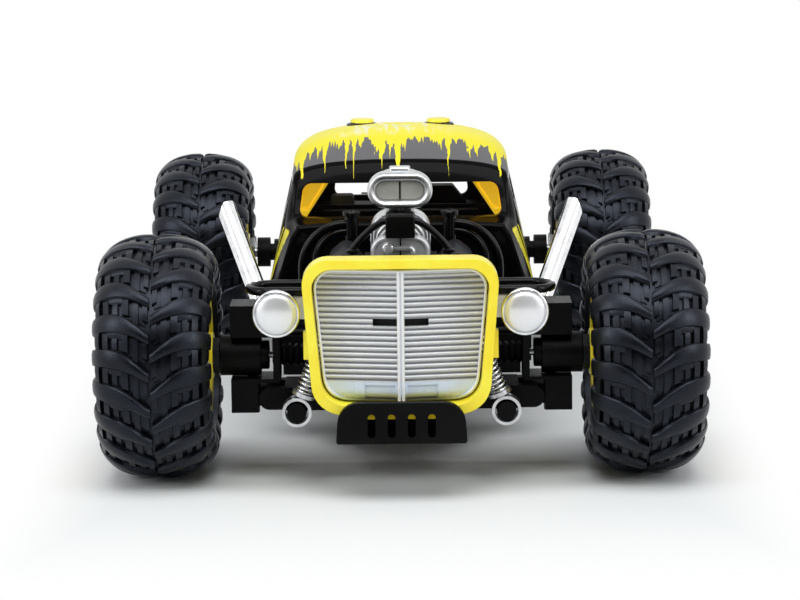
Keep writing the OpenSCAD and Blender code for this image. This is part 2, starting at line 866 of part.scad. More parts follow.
module steering_servo() {
    pivot_v = steer_arm + horn_len;
    v0 = tub_v + tub_wall + 1;
    color("#2b2b2e") at_front() {
        box([horn_x - servo_half, v0, tub_floor + tub_wall],
            [horn_x + servo_half, v0 + servo_long, horn_low - 4]);
        box([horn_x - servo_half, v0, horn_low - 11],
            [horn_x + servo_half, v0 + servo_long + 4, horn_low - 9]);
        translate([horn_x, pivot_v, 0]) {
            rod_z(horn_low - 5, horn_low - 0.6, 4);
            rod_z(horn_low - 2, horn_low + horn_t, servo_shaft_r);
        }
    }
}

// Shocks: along +Z from the lower eye, with both eye bores across along Y

module shock_rod_form() {
    difference() {
        union() {
            rod_y(-ring_t / 2, ring_t / 2, ring_r);
            rod_z(ring_bore + 0.5, perch_at + 0.5, neck_r);
            rod_z(perch_at, perch_at + perch_t, perch_r);
            rod_z(perch_at, rod_reach, rod_d / 2);
        }
        rod_y(-ring_t, ring_t, ring_bore);
    }
}

module shock_body_form(len) {
    difference() {
        union() {
            rod_z(cylinder_from, len - cap_len, shock_d / 2);
            rod_z(len - cap_len, len - cap_len + perch_t, perch_r);
            rod_z(len - cap_len + perch_t, len - top_ring_r + 1, cap_r);
            translate([0, 0, len]) rod_y(-ring_t / 2, ring_t / 2, top_ring_r);
        }
        rod_z(cylinder_from - 1, len - cap_len - 1, rod_d / 2 + run_gap);
        translate([0, 0, len]) rod_y(-ring_t, ring_t, pin_r + run_gap);
    }
}

module front_shock_place(s) {
    lean = atan2(top_eye[0] - low_eye[0], top_eye[1] - low_eye[1]);
    at_front() on_side(s) translate([low_eye[0], shock_v, low_eye[1]]) rotate([0, lean, 0]) children();
}

module rear_shock_place() {
    lean = atan2(rear_low_eye[0] - rear_top_eye[0], rear_top_eye[1] - rear_low_eye[1]);
    at_rear() both_sides() translate([rear_shock_x, rear_low_eye[0], rear_low_eye[1]])
        rotate([lean, 0, 0]) rotate([0, 0, 90]) children();
}

module front_shock_rod(s) {
    color("#d5d7da") front_shock_place(s) shock_rod_form();
}

module front_shock_body(s) {
    color("#2a2a2c") front_shock_place(s) shock_body_form(front_shock_len);
}

module front_spring(s) {
    color("#d8dadd") front_shock_place(s)
        spring_coil(perch_at + perch_t, front_shock_len - cap_len, "front spring");
}

module rear_shock_rods() {
    color("#d5d7da") rear_shock_place() shock_rod_form();
}

module rear_shock_bodies() {
    color("#2a2a2c") rear_shock_place() shock_body_form(rear_shock_len);
}

module rear_springs() {
    color("#d8dadd") rear_shock_place()
        spring_coil(perch_at + perch_t, rear_shock_len - cap_len, "rear spring");
}

// Drive line

module front_spool() {
    color("#b9bbbe") at_front() {
        rod_x(-joint_x + ball_r + 1.5, joint_x - ball_r - 1.5, spool_r);
        crown_gear();
        both_sides() drive_cup_x(drum_half + air_gap, joint_x + cup_reach, joint_x);
    }
}

module drive_shaft() {
    cup_y = swing_y - front_y;
    color("#a9abae") at_front() {
        gear_y(bevel_in, bevel_out, bevel_teeth, bevel_m, 0);
        rod_y(crown_r, cup_y - ball_r - 1, drive_r);
        gear_y(spur_v, spur_v + spur_t, spur_teeth, spur_module, 180 - motor_turn);
        rotate([0, 0, 90]) drive_cup_x(cup_y - ball_r - 3.5, cup_y + cup_reach, cup_y);
    }
}

module motor_pinion() {
    color("#c8a24a") at_front() translate([motor_x, 0, motor_w])
        difference() {
            gear_y(spur_v, spur_v + spur_t, pinion_teeth, spur_module, 180 / pinion_teeth - motor_turn);
            rod_y(spur_v - 1, spur_v + spur_t + 1, motor_shaft_r + run_gap);
        }
}

module motor() {
    color("#8d9094") at_front() translate([motor_x, 0, motor_w]) {
        rod_y(motor_wall_v - motor_len, motor_wall_v, motor_r);
        rod_y(motor_wall_v - 1, motor_wall_v + motor_wall_t, motor_boss_r);
        rod_y(motor_wall_v, spur_v + spur_t + 1, motor_shaft_r);
        rod_y(motor_wall_v - motor_len - 3, motor_wall_v - motor_len + 1, motor_r - 4);
    }
}

module rear_axle_shaft() {
    color("#bfc1c4") at_rear() {
        rod_x(-wheel_x - axle_end, wheel_x + axle_end, axle_r);
        mirror([1, 0, 0]) mirror([0, 1, 0]) crown_gear();
        both_sides() wheel_drive(wheel_x);
    }
}

module rear_prop_shaft() {
    color("#b4b6b9") at_rear() {
        translate([0, -swing_back, 0]) sphere(r = ball_r);
        rod_y(-swing_back, -crown_r, drive_r - 0.2);
        gear_y(-bevel_out, -bevel_in, bevel_teeth, bevel_m, 180);
    }
}

module rear_swing_axle() {
    tube_end = wheel_x - hub_in - 4;
    color("#1e1e1e") at_rear() difference() {
        union() {
            rod_x(-drum_half, drum_half, drum_r);
            rod_x(-tube_end, tube_end, axle_r + 1.6);
            rod_y(-drum_r - 12, -drum_in_r, cup_r + 1.4);
            both_sides() {
                rod_x(tube_end - 12, tube_end - 8, 6.2);
                rod_x(tube_end - 6, tube_end, 7);
                plate_x(swing_in, swing_out) polygon([
                    [-swing_back, -3.4], [0, -5.5], [0, 5.5], [-swing_back, 3.4]
                ]);
                translate([0, -swing_back, 0]) rod_x(swing_in, swing_out, swing_eye_r);
                rod_x(swing_in, swing_out, 7);
                plate_x(swing_out - 3, swing_out) polygon([
                    [0, 6], rear_low_eye + [1, 3.6], rear_low_eye + [3.6, 0],
                    rear_low_eye + [1, -3.6], [0, -6]
                ]);
                translate([0, rear_low_eye[0], rear_low_eye[1]])
                    rod_x(swing_out - 2, rear_shock_x + ring_t / 2 + 1, bush_r);
            }
        }
        rod_x(-drum_in_half, drum_in_half, drum_in_r);
        rod_x(-tube_end - 1, tube_end + 1, axle_r + run_gap);
        rod_y(-drum_r - 13, 0, drive_r - 0.2 + run_gap);
        both_sides() translate([0, -swing_back, 0]) rod_x(swing_in - 1, swing_out + 1, pin_r + run_gap);
    }
}

// Chassis tub and what it holds

function tub_plan(inset) = let (v1 = tub_end_y - front_y)
    [for (p = [[tub_nose_half, tub_v], [tub_half, tub_wide_v], [tub_half, v1 - 14], [tub_tail_half, v1]])
        [p[0] - inset, p[1] + (p[1] < tub_wide_v ? inset : p[1] == v1 ? -inset : 0)]];

module tub_outline(inset) {
    right = tub_plan(inset);
    left = [for (i = [len(right) - 1:-1:0]) [-right[i][0], right[i][1]]];
    polygon(concat(right, left));
}

module chassis_tub() {
    v1 = tub_end_y - front_y;
    pin_v = swing_y - front_y;
    color("#191919") at_front() difference() {
        union() {
            difference() {
                union() {
                    translate([0, 0, tub_floor]) linear_extrude(tub_top - tub_floor) tub_outline(0);
                    box([-rail_half, rail_v - guard_t, tub_top - rail_t], [rail_half, sill_v + 1, tub_top]);
                    box([-sill_half, sill_v, tub_top - rail_t], [sill_half, v1 - 14, tub_top]);
                }
                translate([0, 0, tub_floor + tub_wall])
                    linear_extrude(tub_top - tub_floor) tub_outline(tub_wall);
            }
            box([-6, motor_wall_v, tub_floor], [tub_half - 1, motor_wall_v + motor_wall_t, tub_top - 2]);
            both_sides() {
                plate_y(rail_v - guard_t, rail_v - seat_gap) polygon([
                    [tub_half - 1, tub_top], [guard_half[1], tub_top], [guard_half[1], guard_low[1]],
                    [guard_half[0], guard_low[1]], [guard_half[0], guard_low[0]],
                    [tub_half - 1, guard_low[0]]
                ]);
                box([swing_in - jaw_gap - swing_lug_t, v1 - 1, -7], [swing_in - jaw_gap, pin_v + 5, 7]);
                translate([0, pin_v, 0]) rod_x(swing_in - jaw_gap - 1, swing_out + jaw_gap, pin_r);
                translate([0, pin_v, 0]) rod_x(swing_out + jaw_gap, swing_out + jaw_gap + 1.2, pin_r + 1.4);
            }
        }
        rod_y(tub_v - 1, pin_v, drive_r + run_gap);
        box([horn_x - notch_half, tub_v - 1, horn_low - 0.5],
            [horn_x + notch_half, tub_v + tub_wall + 1, tub_top + 1]);
        both_sides() for (u = rear_screws()) translate([0, u + wheelbase, rear_screw_w])
            rod_x(frame_out, swing_in, screw_r + seat_gap);
        translate([motor_x, 0, motor_w])
            rod_y(motor_wall_v - 1, motor_wall_v + motor_wall_t + 1, motor_boss_r + seat_gap);
    }
}

module battery_pack() {
    color("#2f4f7a") at_front()
        box([3.4 - tub_half, tub_wide_v + 4, tub_floor + tub_wall], [-6, motor_wall_v - 6, 3]);
}

module control_board() {
    floor_w = tub_floor + tub_wall + seat_gap;
    v0 = spur_v + spur_t + 1.5;
    color("#1f6b3a") at_front() {
        box([8 - tub_half, v0, floor_w], [-12, v0 + 10, floor_w + 1.6]);
        box([10 - tub_half, v0 + 1, floor_w + 1], [-15, v0 + 9, floor_w + 8]);
    }
}

module interior_tray() {
    v0 = sill_v + 3;
    v1 = tub_end_y - front_y - 2;
    seat_v = v1 - 14;
    gear_r = spur_r + spur_module + 1.2;
    color("#1a1a1a") at_front() {
        difference() {
            union() {
                box([-tray_half, v0, tub_top], [tray_half, v1, tub_top + tray_t]);
                box([-dash_half, v0, tub_top + 1], [dash_half, v0 + dash_t, dash_top]);
                box([-dash_half, v1 - tray_t, tub_top], [dash_half, v1, bulkhead_top]);
                both_sides() {
                    box([seat_x[0], seat_v - 22, tub_top + 1], [seat_x[1], seat_v + 2, tub_top + 9]);
                    box([seat_x[0], seat_v, tub_top + 1], [seat_x[1], seat_v + 7, bulkhead_top - 1]);
                }
                intersection() {
                    rod_y(spur_v - 3, spur_v + spur_t + 3, gear_r + tray_t);
                    box([-tray_half, v0, tub_top], [tray_half, v1, dash_top]);
                }
            }
            rod_y(spur_v - 1.2, spur_v + spur_t + 1.2, gear_r);
        }
        translate([helm_x, v0 + 14, 29]) rotate([25, 0, 0]) {
            rod_y(-8, 0, 1.6);
            turned_y([[helm_r - 2, -1], [helm_r, -1], [helm_r, 1], [helm_r - 2, 1]]);
            box([1 - helm_r, -0.8, -0.9], [helm_r - 1, 0.8, 0.9]);
        }
    }
}

// Rear frame: two side plates, cross tubes, shock pins and the rear bar

module rear_frame() {
    start = tub_end_y - rear_y;
    bar_u = tail_reach - tube_d / 2;
    cross_w = (frame_low + frame_high) / 2;
    color("#1c1c1c") at_rear() difference() {
        union() {
            both_sides() {
                plate_x(frame_in, frame_out) polygon([
                    [start, -4], [start + 6, -4], [start + 8, 8], [-40, frame_low], [bar_u, frame_low],
                    [bar_u, frame_high], rear_top_eye + [16, frame_high - rear_top_eye[1]],
                    rear_top_eye + [4, 4], rear_top_eye + [-5, 4],
                    rear_top_eye + [-14, frame_high - rear_top_eye[1]],
                    [start + 6, 14], [start, 8]
                ]);
                translate([0, rear_top_eye[0], rear_top_eye[1]])
                    rod_x(frame_out - 1, rear_shock_x + ring_t / 2 + 1, pin_r);
            }
            for (u = cross_u) translate([0, u, cross_w]) rod_x(-frame_in - 1, frame_in + 1, cross_r);
            translate([0, bar_u, cross_w]) rod_x(-rear_bar_half, rear_bar_half, tube_d / 2);
        }
        for (u = rear_screws()) both_sides() translate([0, u, rear_screw_w])
            rod_x(frame_in - 1, frame_out + 1, screw_r + seat_gap);
    }
}

// Cap screws: head and shank along +Y from the head's seat
module cap_screw(len) {
    difference() {
        rod_y(-screw_head_h, 0, screw_head_r);
        rod_y(-screw_head_h - 1, -screw_head_h / 2, screw_r * 0.9);
    }
    rod_y(-0.2, len, screw_r);
}

function tower_screws() = [for (x = [-screw_x, screw_x], w = tower_screw_w) [x, w]];
function rear_screws() = [tub_end_y - rear_y + 3];

module screws() {
    color("#8a8c8f") {
        at_front() for (p = tower_screws()) translate([p[0], tower_v, p[1]]) cap_screw(tower_t);
        at_rear() both_sides() for (u = rear_screws())
            translate([frame_in, u, rear_screw_w]) rotate([0, 0, -90])
                cap_screw(swing_in - 2 * jaw_gap - frame_in);
    }
}

// Nose

function nose_outline(inset) =
    let (top = grille_w / 2 - inset, foot = grille_foot_w / 2 - inset, hi = surround_top - inset)
    rounded([[top, hi], [-top, hi], [-foot, surround_low + inset], [foot, surround_low + inset]],
        [9.5 - inset / 2, 9.5 - inset / 2, 12 - inset / 2, 12 - inset / 2], 8);

module skid_bumper() {
    half = bumper_w / 2;
    mid = (bumper_low + bumper_high) / 2;
    pitch = 7.5;
    color("#1c1c1d") at_front() {
        plate_y(bumper_v, bumper_v + bumper_t) difference() {
            polygon(rounded([[half - 1, bumper_high], [1 - half, bumper_high],
                [-half, bumper_low], [half, bumper_low]], [8, 8, 1, 1]));
            for (i = [0:bumper_slots - 1])
                slot((i - (bumper_slots - 1) / 2) * pitch, mid - 1, 3, bumper_high - bumper_low - 6.5);
        }
        box([-11, bumper_v + 1, bumper_low], [11, -arm_w / 2 - jaw_gap - lug_t, bumper_low + 4]);
        box([-bumper_back_half, bumper_v + 1, bumper_low + 1],
            [bumper_back_half, surround_back, surround_low]);
    }
}

module grille_surround() {
    color("#f4c400") at_front() {
        plate_y(surround_v, surround_back) difference() {
            polygon(nose_outline(0));
            polygon(nose_outline(surround_bar));
        }
        both_sides() box([grille_foot_w / 2, surround_back - 1, 4.8], [grille_w / 2 - 0.7, bracket_v, 15.5]);
    }
}

// Plan of the prow: a V between two depths, for the full width of the nose
function prow_plan(front, back) = [
    [0, front - prow], [grille_w / 2, front], [grille_w / 2, back],
    [0, back - prow], [-grille_w / 2, back], [-grille_w / 2, front]
];

module prow_layer(w0, w1, front, back) {
    translate([0, 0, w0]) linear_extrude(w1 - w0) polygon(prow_plan(front, back));
}

module grille() {
    pitch = (slat_top - slat_low) / slat_count;
    face = surround_v + prow + 2;
    color("#c6c8ca") at_front() {
        difference() {
            intersection() {
                plate_y(surround_v - 6, surround_back) polygon(nose_outline(surround_bar + grille_gap));
                union() {
                    prow_layer(surround_low, surround_top, face + 1.6, face + 4);
                    for (i = [0:slat_count - 1])
                        prow_layer(slat_low + i * pitch, slat_low + i * pitch + slat_t, face, face + 2);
                    prow_layer(surround_low, slat_low, face, face + 2);
                    prow_layer(slat_top, surround_top, face, face + 2);
                }
            }
            plate_y(surround_v - 8, face + 3.6 - prow)
                translate([-vent_half, vent_w]) square([2 * vent_half, vent_h]);
        }
        intersection() {
            plate_y(surround_v - 6, surround_back) difference() {
                polygon(nose_outline(surround_bar + grille_gap));
                polygon(nose_outline(surround_bar + grille_gap + 1.2));
            }
            prow_layer(surround_low, surround_top, face - 0.8, face + 4);
        }
        for (x = [-1.2, 0.3])
            box([x, face - prow - 0.9, surround_low + surround_bar + 1],
                [x + 0.9, face - prow + 4, slat_top + 2]);
    }
}

module headlight_bracket() {
    color("#c9cbcd") at_front() {
        box([-lamp_x - 3, bracket_v, bracket_low], [lamp_x + 3, bracket_v + bracket_t, bracket_high]);
        for (x = [-peg_x, peg_x]) translate([x, 0, (bracket_low + bracket_high) / 2])
            rod_y(bracket_v + 1, tower_v, peg_r);
    }
}

module headlights() {
    r = lamp_d / 2;
    lens = r - 1.4;
    color("#d3d5d8") at_front() both_sides() translate([lamp_x, bracket_v, lamp_w])
        turned_y([[0, 0], [r * 0.6, 0], [r - 0.8, 3.4 - lamp_deep], [r, 2.4 - lamp_deep],
            [r, 0.4 - lamp_deep], [r - 0.9, -0.2 - lamp_deep], [lens, -lamp_deep],
            for (a = [15:15:90]) [lens * cos(a), -lamp_deep - lamp_dome * sin(a)]]);
}

// Engine, intake and pipes

module engine_block() {
    color("#3a3b3d") at_front() {
        box([-block_half, block_v[0], block_low], [block_half, block_v[1], block_high]);
        box([-tub_half, rail_v - 6, tub_top], [tub_half, rail_v + 2, block_low + 1]);
        both_sides() translate([bank_x, block_v[0] + 2, block_high - 8]) rotate([0, bank_turn, 0])
            plate_y(0, block_v[1] - block_v[0] - 16) polygon(rounded([
                [bank_wide * 3 / 4, bank_h], [-bank_wide / 4, bank_h], [-bank_wide / 4, 0],
                [bank_wide * 3 / 4, 0]
            ], [bank_round, bank_round, 0.4, 0.4]));
        translate([0, 0, block_low + 8]) rod_y(block_v[0] - 3, block_v[0] + 1, 7);
    }
}

module blower_outline(half) {
    polygon(rounded([[half, blower_top], [-half, blower_top], [-half, block_high], [half, block_high]],
        [blower_round, blower_round, 0.4, 0.4]));
}

module blower() {
    pitch = (blower_v[1] - blower_v[0] - rib_t) / (rib_count - 0.5);
    face = blower_v[0] - cover_t;
    color("#bfc2c5") at_front() {
        plate_y(blower_v[0], blower_v[1]) blower_outline(blower_half);
        for (i = [0:rib_count - 1]) let (v = blower_v[0] + (i + 0.5) * pitch)
            plate_y(v, v + rib_t) blower_outline(blower_half + rib_h);
        plate_y(face, blower_v[0] + 0.5)
            polygon(rounded([[cover_half, cover_top], [-cover_half, cover_top],
                [1 - cover_half, block_high], [cover_half - 1, block_high]], [6, 6, 1, 1]));
        translate([-lever_x, 0, lever_w]) rod_y(face - 2, face + 1, 2.2);
        box([-lever_x, face - 1.6, lever_w - 0.8], [lever_x, face + 0.5, lever_w + 0.8]);
        translate([lever_x, 0, lever_w - 2]) rod_y(face - 1.6, face + 0.5, 1.2);
        box([lever_x - 0.8, face - 1.6, lever_w - 2], [lever_x + 0.8, face + 0.5, lever_w + 0.8]);
    }
}

module blower_drive() {
    low = drive_box_high - drive_box_h;
    color("#161617") at_front() {
        box([-drive_box_half, drive_box_v, low], [drive_box_half, blower_v[0], drive_box_high]);
        both_sides() plate_y(blower_v[0] - 5, blower_v[0] - 2) polygon([
            [drive_box_half - 1, drive_box_high - 2], [drive_box_half, drive_box_high - 2],
            [brace_out, brace_low + 2.2], [brace_out, brace_low], [brace_out - 1.8, brace_low],
            [cover_half + 0.6, cover_top - 0.5], [drive_box_half - 1, low + 4.6]
        ]);
    }
}

// Oval across the car: two round ends joined, from v0 to v1
module oval_y(v0, v1, wide, high) {
    e = (wide - high) / 2;
    hull() for (x = [-e, e]) translate([x, 0, 0]) rod_y(v0, v1, high / 2, $fn = 32);
}

module intake_scoop() {
    low = scoop_w0 - scoop_h / 2;
    mouth = scoop_v[0];
    color("#c3c5c8") at_front() {
        box([-6.5, mouth + 6, blower_top], [6.5, scoop_v[1] - 6, low + 4]);
        translate([0, 0, scoop_w0]) difference() {
            hull() {
                oval_y(mouth, mouth + 6, scoop_w, scoop_h);
                oval_y(scoop_v[1] - 1, scoop_v[1], scoop_tail_w, scoop_tail_h);
            }
            oval_y(mouth - 1, mouth + 3, scoop_w - 4, scoop_h - 4);
            box([-0.4, mouth, 2 - scoop_h / 2], [0.4, mouth + 6, scoop_h / 2 - 2]);
        }
        box([-4.2, mouth + 8, low + scoop_h - 2], [4.2, mouth + 16, low + scoop_h + 1]);
    }
}

function hoop_route(r) = concat([[hoop_x - hoop_r + r, hoop_v, tub_top]],
    [for (a = [0:15:90]) [hoop_x - hoop_r + r * cos(a), hoop_v, hoop_w + r * sin(a)]],
    [[frame_post_x, hoop_v, hoop_w + r]]);

function nerf_route() = let (r = (nerf_v[1] - nerf_v[0]) / 2, mid = (nerf_v[0] + nerf_v[1]) / 2)
    concat([[31, nerf_v[0], nerf_w]],
        [for (a = [-90:15:90]) [nerf_tip - tube_d / 2 - r + r * cos(a), mid + r * sin(a), nerf_w]],
        [[tower_half + seat_gap, nerf_v[1], nerf_w]]);

module tube_frame() {
    color("#151516") at_front() both_sides() {
        plane_tube(nerf_route(), [0, 0, 1]);
        plane_tube(hoop_route(hoop_r), [0, 1, 0]);
        plane_tube(hoop_route(hoop_r - hoop_step), [0, 1, 0]);
        translate([frame_post_x, hoop_v, 0]) rod_z(block_high - 8, frame_post_top, tube_d / 2 + 0.2);
        box([frame_post_x - 3, hoop_v - 2.5, frame_post_top - 4],
            [frame_post_x + 3, hoop_v + 2.5, frame_post_top - 1]);
    }
}

module exhaust_stacks() {
    run = stack_tip - stack_foot;
    lean = acos(run[2] / norm(run));
    heading = atan2(run[1], run[0]);
    color("#d9dbde") at_front() both_sides() {
        translate([0, stack_foot[1], stack_foot[2]]) rod_x(tub_half, stack_foot[0], stack_d / 2);
        translate(stack_foot) {
            sphere(r = stack_d / 2 + 0.1);
            rotate([0, lean, heading]) difference() {
                rod_z(0, norm(run), stack_d / 2);
                rod_z(12, norm(run) + 1, stack_d / 2 - stack_wall);
                translate([0, 0, norm(run)]) rotate([0, 0, -heading]) rotate([0, 45, 0])
                    box([-20, -20, 0], [20, 20, 20]);
            }
        }
    }
}

// Cab shell

function cab_half(row, t) = let (y = along(row[0]), xe = row[5] - t, rise = row[7] - t - row[6])
    concat([[row[1] - t, y, row[2]], [row[3] - t, y, row[4]]],
        [for (k = [0:roof_steps]) let (a = 90 * k / roof_steps)
            [xe * pow(max(cos(a), 0), 2 / roof_power), y, row[6] + rise * pow(sin(a), 2 / roof_power)]]);

function cab_section(row, t, drop) = let (half = cab_half(row, t), n = len(half), foot = half[0])
    let (side = concat([[foot[0], foot[1], foot[2] - drop]], [for (i = [1:n - 1]) half[i]]))
    concat(side, [for (i = [n - 2:-1:0]) [-side[i][0], side[i][1], side[i][2]]]);

module loft(sections) {
    n = len(sections[0]);
    m = len(sections);
    walls = [for (i = [0:m - 2], k = [0:n - 1])
        let (a = i * n + k, b = i * n + (k + 1) % n)
        each [[a, b, a + n], [b, b + n, a + n]]];
    ends = [[for (k = [n - 1:-1:0]) k], [for (k = [0:n - 1]) (m - 1) * n + k]];
    polyhedron([for (s = sections) each s], concat(walls, ends), convexity = 10);
}

function cab_inner_rows() = let (last = len(cab_rows) - 1)
    [for (i = [0:last]) let (row = cab_rows[i])
        i == 0 ? concat([row[0] + cab_wall], [for (k = [1:7]) row[k]])
        : i == last ? concat([row[0] - cab_wall], [for (k = [1:7]) row[k]]) : row];

module cab_shell() {
    color("#121213") at_front() {
        difference() {
            loft([for (row = cab_rows) cab_section(row, 0, 0)]);
            loft([for (row = cab_inner_rows()) cab_section(row, cab_wall, 8)]);
            plate_y(along(95), along(122)) polygon(rounded(screen_window, [4, 4, 3, 3]));
            plate_x(-rail_half * 2, rail_half * 2) polygon(rounded(door_window, [3, 2, 3, 3]));
            plate_x(-rail_half * 2, rail_half * 2) polygon(rounded(quarter_window, [3, 3, 3, 4]));
            plate_y(along(202), along(220)) polygon(rounded(back_window, [3, 3, 3, 3]));
            box([-frame_out - 3, along(202), 0], [frame_out + 3, along(220), frame_high + 5]);
        }
        both_sides() translate([pod_x, along(pod_v), 0]) rod_z(pod_w[0], pod_w[1], pod_r);
    }
}

chassis_tub();
front_gearbox();
skid_bumper();
grille_surround();
grille();
headlight_bracket();
headlights();
engine_block();
blower();
blower_drive();
intake_scoop();
tube_frame();
exhaust_stacks();
cab_shell();
interior_tray();
battery_pack();
control_board();
steering_servo();
motor();
rear_frame();
screws();
servo_horn();
steering_rack();
drive_shaft();
motor_pinion();
front_spool();
front_lower_arm(1);  // front_lower_arm_left
front_lower_arm(-1);  // front_lower_arm_right
front_upper_arm(1);  // front_upper_arm_left
front_upper_arm(-1);  // front_upper_arm_right
hub_carrier(1);  // hub_carrier_left
hub_carrier(-1);  // hub_carrier_right
steering_knuckle(1);  // steering_knuckle_left
steering_knuckle(-1);  // steering_knuckle_right
stub_axle(1);  // stub_axle_left
stub_axle(-1);  // stub_axle_right
front_rim(1);  // front_rim_left
front_rim(-1);  // front_rim_right
front_tyre(1);  // front_tyre_left
front_tyre(-1);  // front_tyre_right
half_shaft(1);  // half_shaft_left
half_shaft(-1);  // half_shaft_right
tie_rod(1);  // tie_rod_left
tie_rod(-1);  // tie_rod_right
front_shock_body(1);  // front_shock_body_left
front_shock_body(-1);  // front_shock_body_right
front_shock_rod(1);  // front_shock_rod_left
front_shock_rod(-1);  // front_shock_rod_right
front_spring(1);  // front_spring_left
front_spring(-1);  // front_spring_right
rear_swing_axle();
rear_axle_shaft();
rear_prop_shaft();
rear_rim(1);  // rear_rim_left
rear_rim(-1);  // rear_rim_right
rear_tyre(1);  // rear_tyre_left
rear_tyre(-1);  // rear_tyre_right
rear_shock_bodies();
rear_shock_rods();
rear_springs();
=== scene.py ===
"""Looks of a radio controlled hot rod buggy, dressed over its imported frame."""

import math

import bmesh
import bpy
from mathutils import Matrix, Vector


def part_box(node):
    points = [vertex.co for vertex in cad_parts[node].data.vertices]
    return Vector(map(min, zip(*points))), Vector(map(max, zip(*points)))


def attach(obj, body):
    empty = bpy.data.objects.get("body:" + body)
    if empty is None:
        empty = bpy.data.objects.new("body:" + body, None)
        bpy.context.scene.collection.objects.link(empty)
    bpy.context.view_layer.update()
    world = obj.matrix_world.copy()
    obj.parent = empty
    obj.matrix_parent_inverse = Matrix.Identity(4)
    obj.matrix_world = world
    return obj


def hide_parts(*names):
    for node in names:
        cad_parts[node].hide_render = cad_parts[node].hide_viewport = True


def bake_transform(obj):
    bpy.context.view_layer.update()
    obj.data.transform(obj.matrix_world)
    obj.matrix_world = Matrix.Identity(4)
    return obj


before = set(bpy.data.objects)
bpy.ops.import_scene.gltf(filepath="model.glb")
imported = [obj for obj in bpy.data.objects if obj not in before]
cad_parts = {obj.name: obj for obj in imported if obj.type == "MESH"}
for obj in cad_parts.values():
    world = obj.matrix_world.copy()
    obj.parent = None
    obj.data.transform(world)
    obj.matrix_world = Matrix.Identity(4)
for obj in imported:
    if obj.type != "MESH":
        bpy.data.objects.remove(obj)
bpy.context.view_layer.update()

# Sizes, in millimetres

MM = 0.001
SIDES = {"left": 1, "right": -1}


def middle(node):
    """Middle of a frame node's box, in millimetres."""
    low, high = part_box(node)
    return (low + high) / (2 * MM)


FRONT_HUB = middle("front_rim_left")
REAR_HUB = middle("rear_rim_left")

# Tyre: radius, half width and fall of the tread, its lugs, and the beads at the rim
TYRE_R = 47.5
TYRE_HALF = 23.0
TYRE_DROP = 16.0
LUG_H = 3.4
LUG_COUNT = 20
BEAD_HALF = 17.9
BEAD_R = 26.1
BEAD_RISE = 28.3
TREAD_POWER = 2.4

# Nose of the grille: its tip behind the front axle, how it falls back sideways, and its vent
PROW_TIP = -44.0
PROW_RISE = 6 / 37.4
VENT_HALF = 10.4
VENT_W = (18.6, 21.2)
# Outline of the nose: half width, height and rounding, each at the top and the foot
NOSE_HALF = (37.4, 32.8)
NOSE_W = (44.2, -14.5)
NOSE_ROUND = (9.5, 12)

# Coil springs, to the middle of the wire, and the frame's tubes
SPRING_R = 3.3
SPRING_WIRE = 1.0
SPRING_TURNS = 19
TUBE_R = 1.7


def nose(x, v, w):
    """A point by its side offset, its distance behind the front axle and its height over the hubs."""
    return Vector((x, FRONT_HUB.y + v, FRONT_HUB.z + w))


# Shader nodes

def colour(code):
    """A screen colour, as linear red, green, blue and alpha."""
    shares = [int(code[i:i + 2], 16) / 255 for i in (1, 3, 5)]
    return tuple(((s + 0.055) / 1.055) ** 2.4 if s > 0.04045 else s / 12.92 for s in shares) + (1.0,)


def reckon(operation, swapped=False):
    """A method that adds a Math node over a wire and what it is reckoned with, if anything."""
    if swapped:
        return lambda self, other: self.math(operation, other, self)
    return lambda self, *others: self.math(operation, self, *others)


class Wire:
    """A socket of a node tree. Arithmetic on it adds Math nodes."""

    def __init__(self, tree, socket=None):
        self.tree = tree
        self.socket = socket

    def node(self, kind, settings=None, inputs=None, output=0):
        """Adds a node: its settings first, then the values or links of its inputs."""
        made = self.tree.nodes.new("ShaderNode" + kind)
        for name, value in (settings or {}).items():
            setattr(made, name, value)
        for name, value in (inputs or {}).items():
            if isinstance(value, Wire):
                self.tree.links.new(value.socket, made.inputs[name])
            else:
                made.inputs[name].default_value = value
        return Wire(self.tree, made.outputs[output])

    def other(self, output):
        """Another output of the same node."""
        return Wire(self.tree, self.socket.node.outputs[output])

    def math(self, operation, *values):
        """A Math node over numbers or wires."""
        return self.node("Math", {"operation": operation}, dict(enumerate(values)))

    __add__ = reckon("ADD")
    __radd__ = reckon("ADD", swapped=True)
    __sub__ = reckon("SUBTRACT")
    __rsub__ = reckon("SUBTRACT", swapped=True)
    __mul__ = reckon("MULTIPLY")
    __rmul__ = reckon("MULTIPLY", swapped=True)
    __truediv__ = reckon("DIVIDE")
    __abs__ = reckon("ABSOLUTE")
    floor = reckon("FLOOR")
    sine = reckon("SINE")
    most = reckon("MAXIMUM")

    def fade(self, low, high):
        """0 below low and 1 above high, with a smooth step between; high may be the smaller."""
        return self.node(
            "MapRange", {"interpolation_type": "SMOOTHSTEP"},
            {"Value": self, "From Min": low, "From Max": high})

    def between(self, low, high, soft):
        """1 from low to high, with soft edges outside."""
        return self.fade(low - soft, low) * self.fade(high + soft, high)

    def tint(self, none, full):
        """A colour between two, by this share. Each is a wire, a screen colour or four numbers."""
        none, full = (colour(c) if isinstance(c, str) else c for c in (none, full))
        return self.node("Mix", {"data_type": "RGBA"}, {0: self, 6: none, 7: full}, 2)


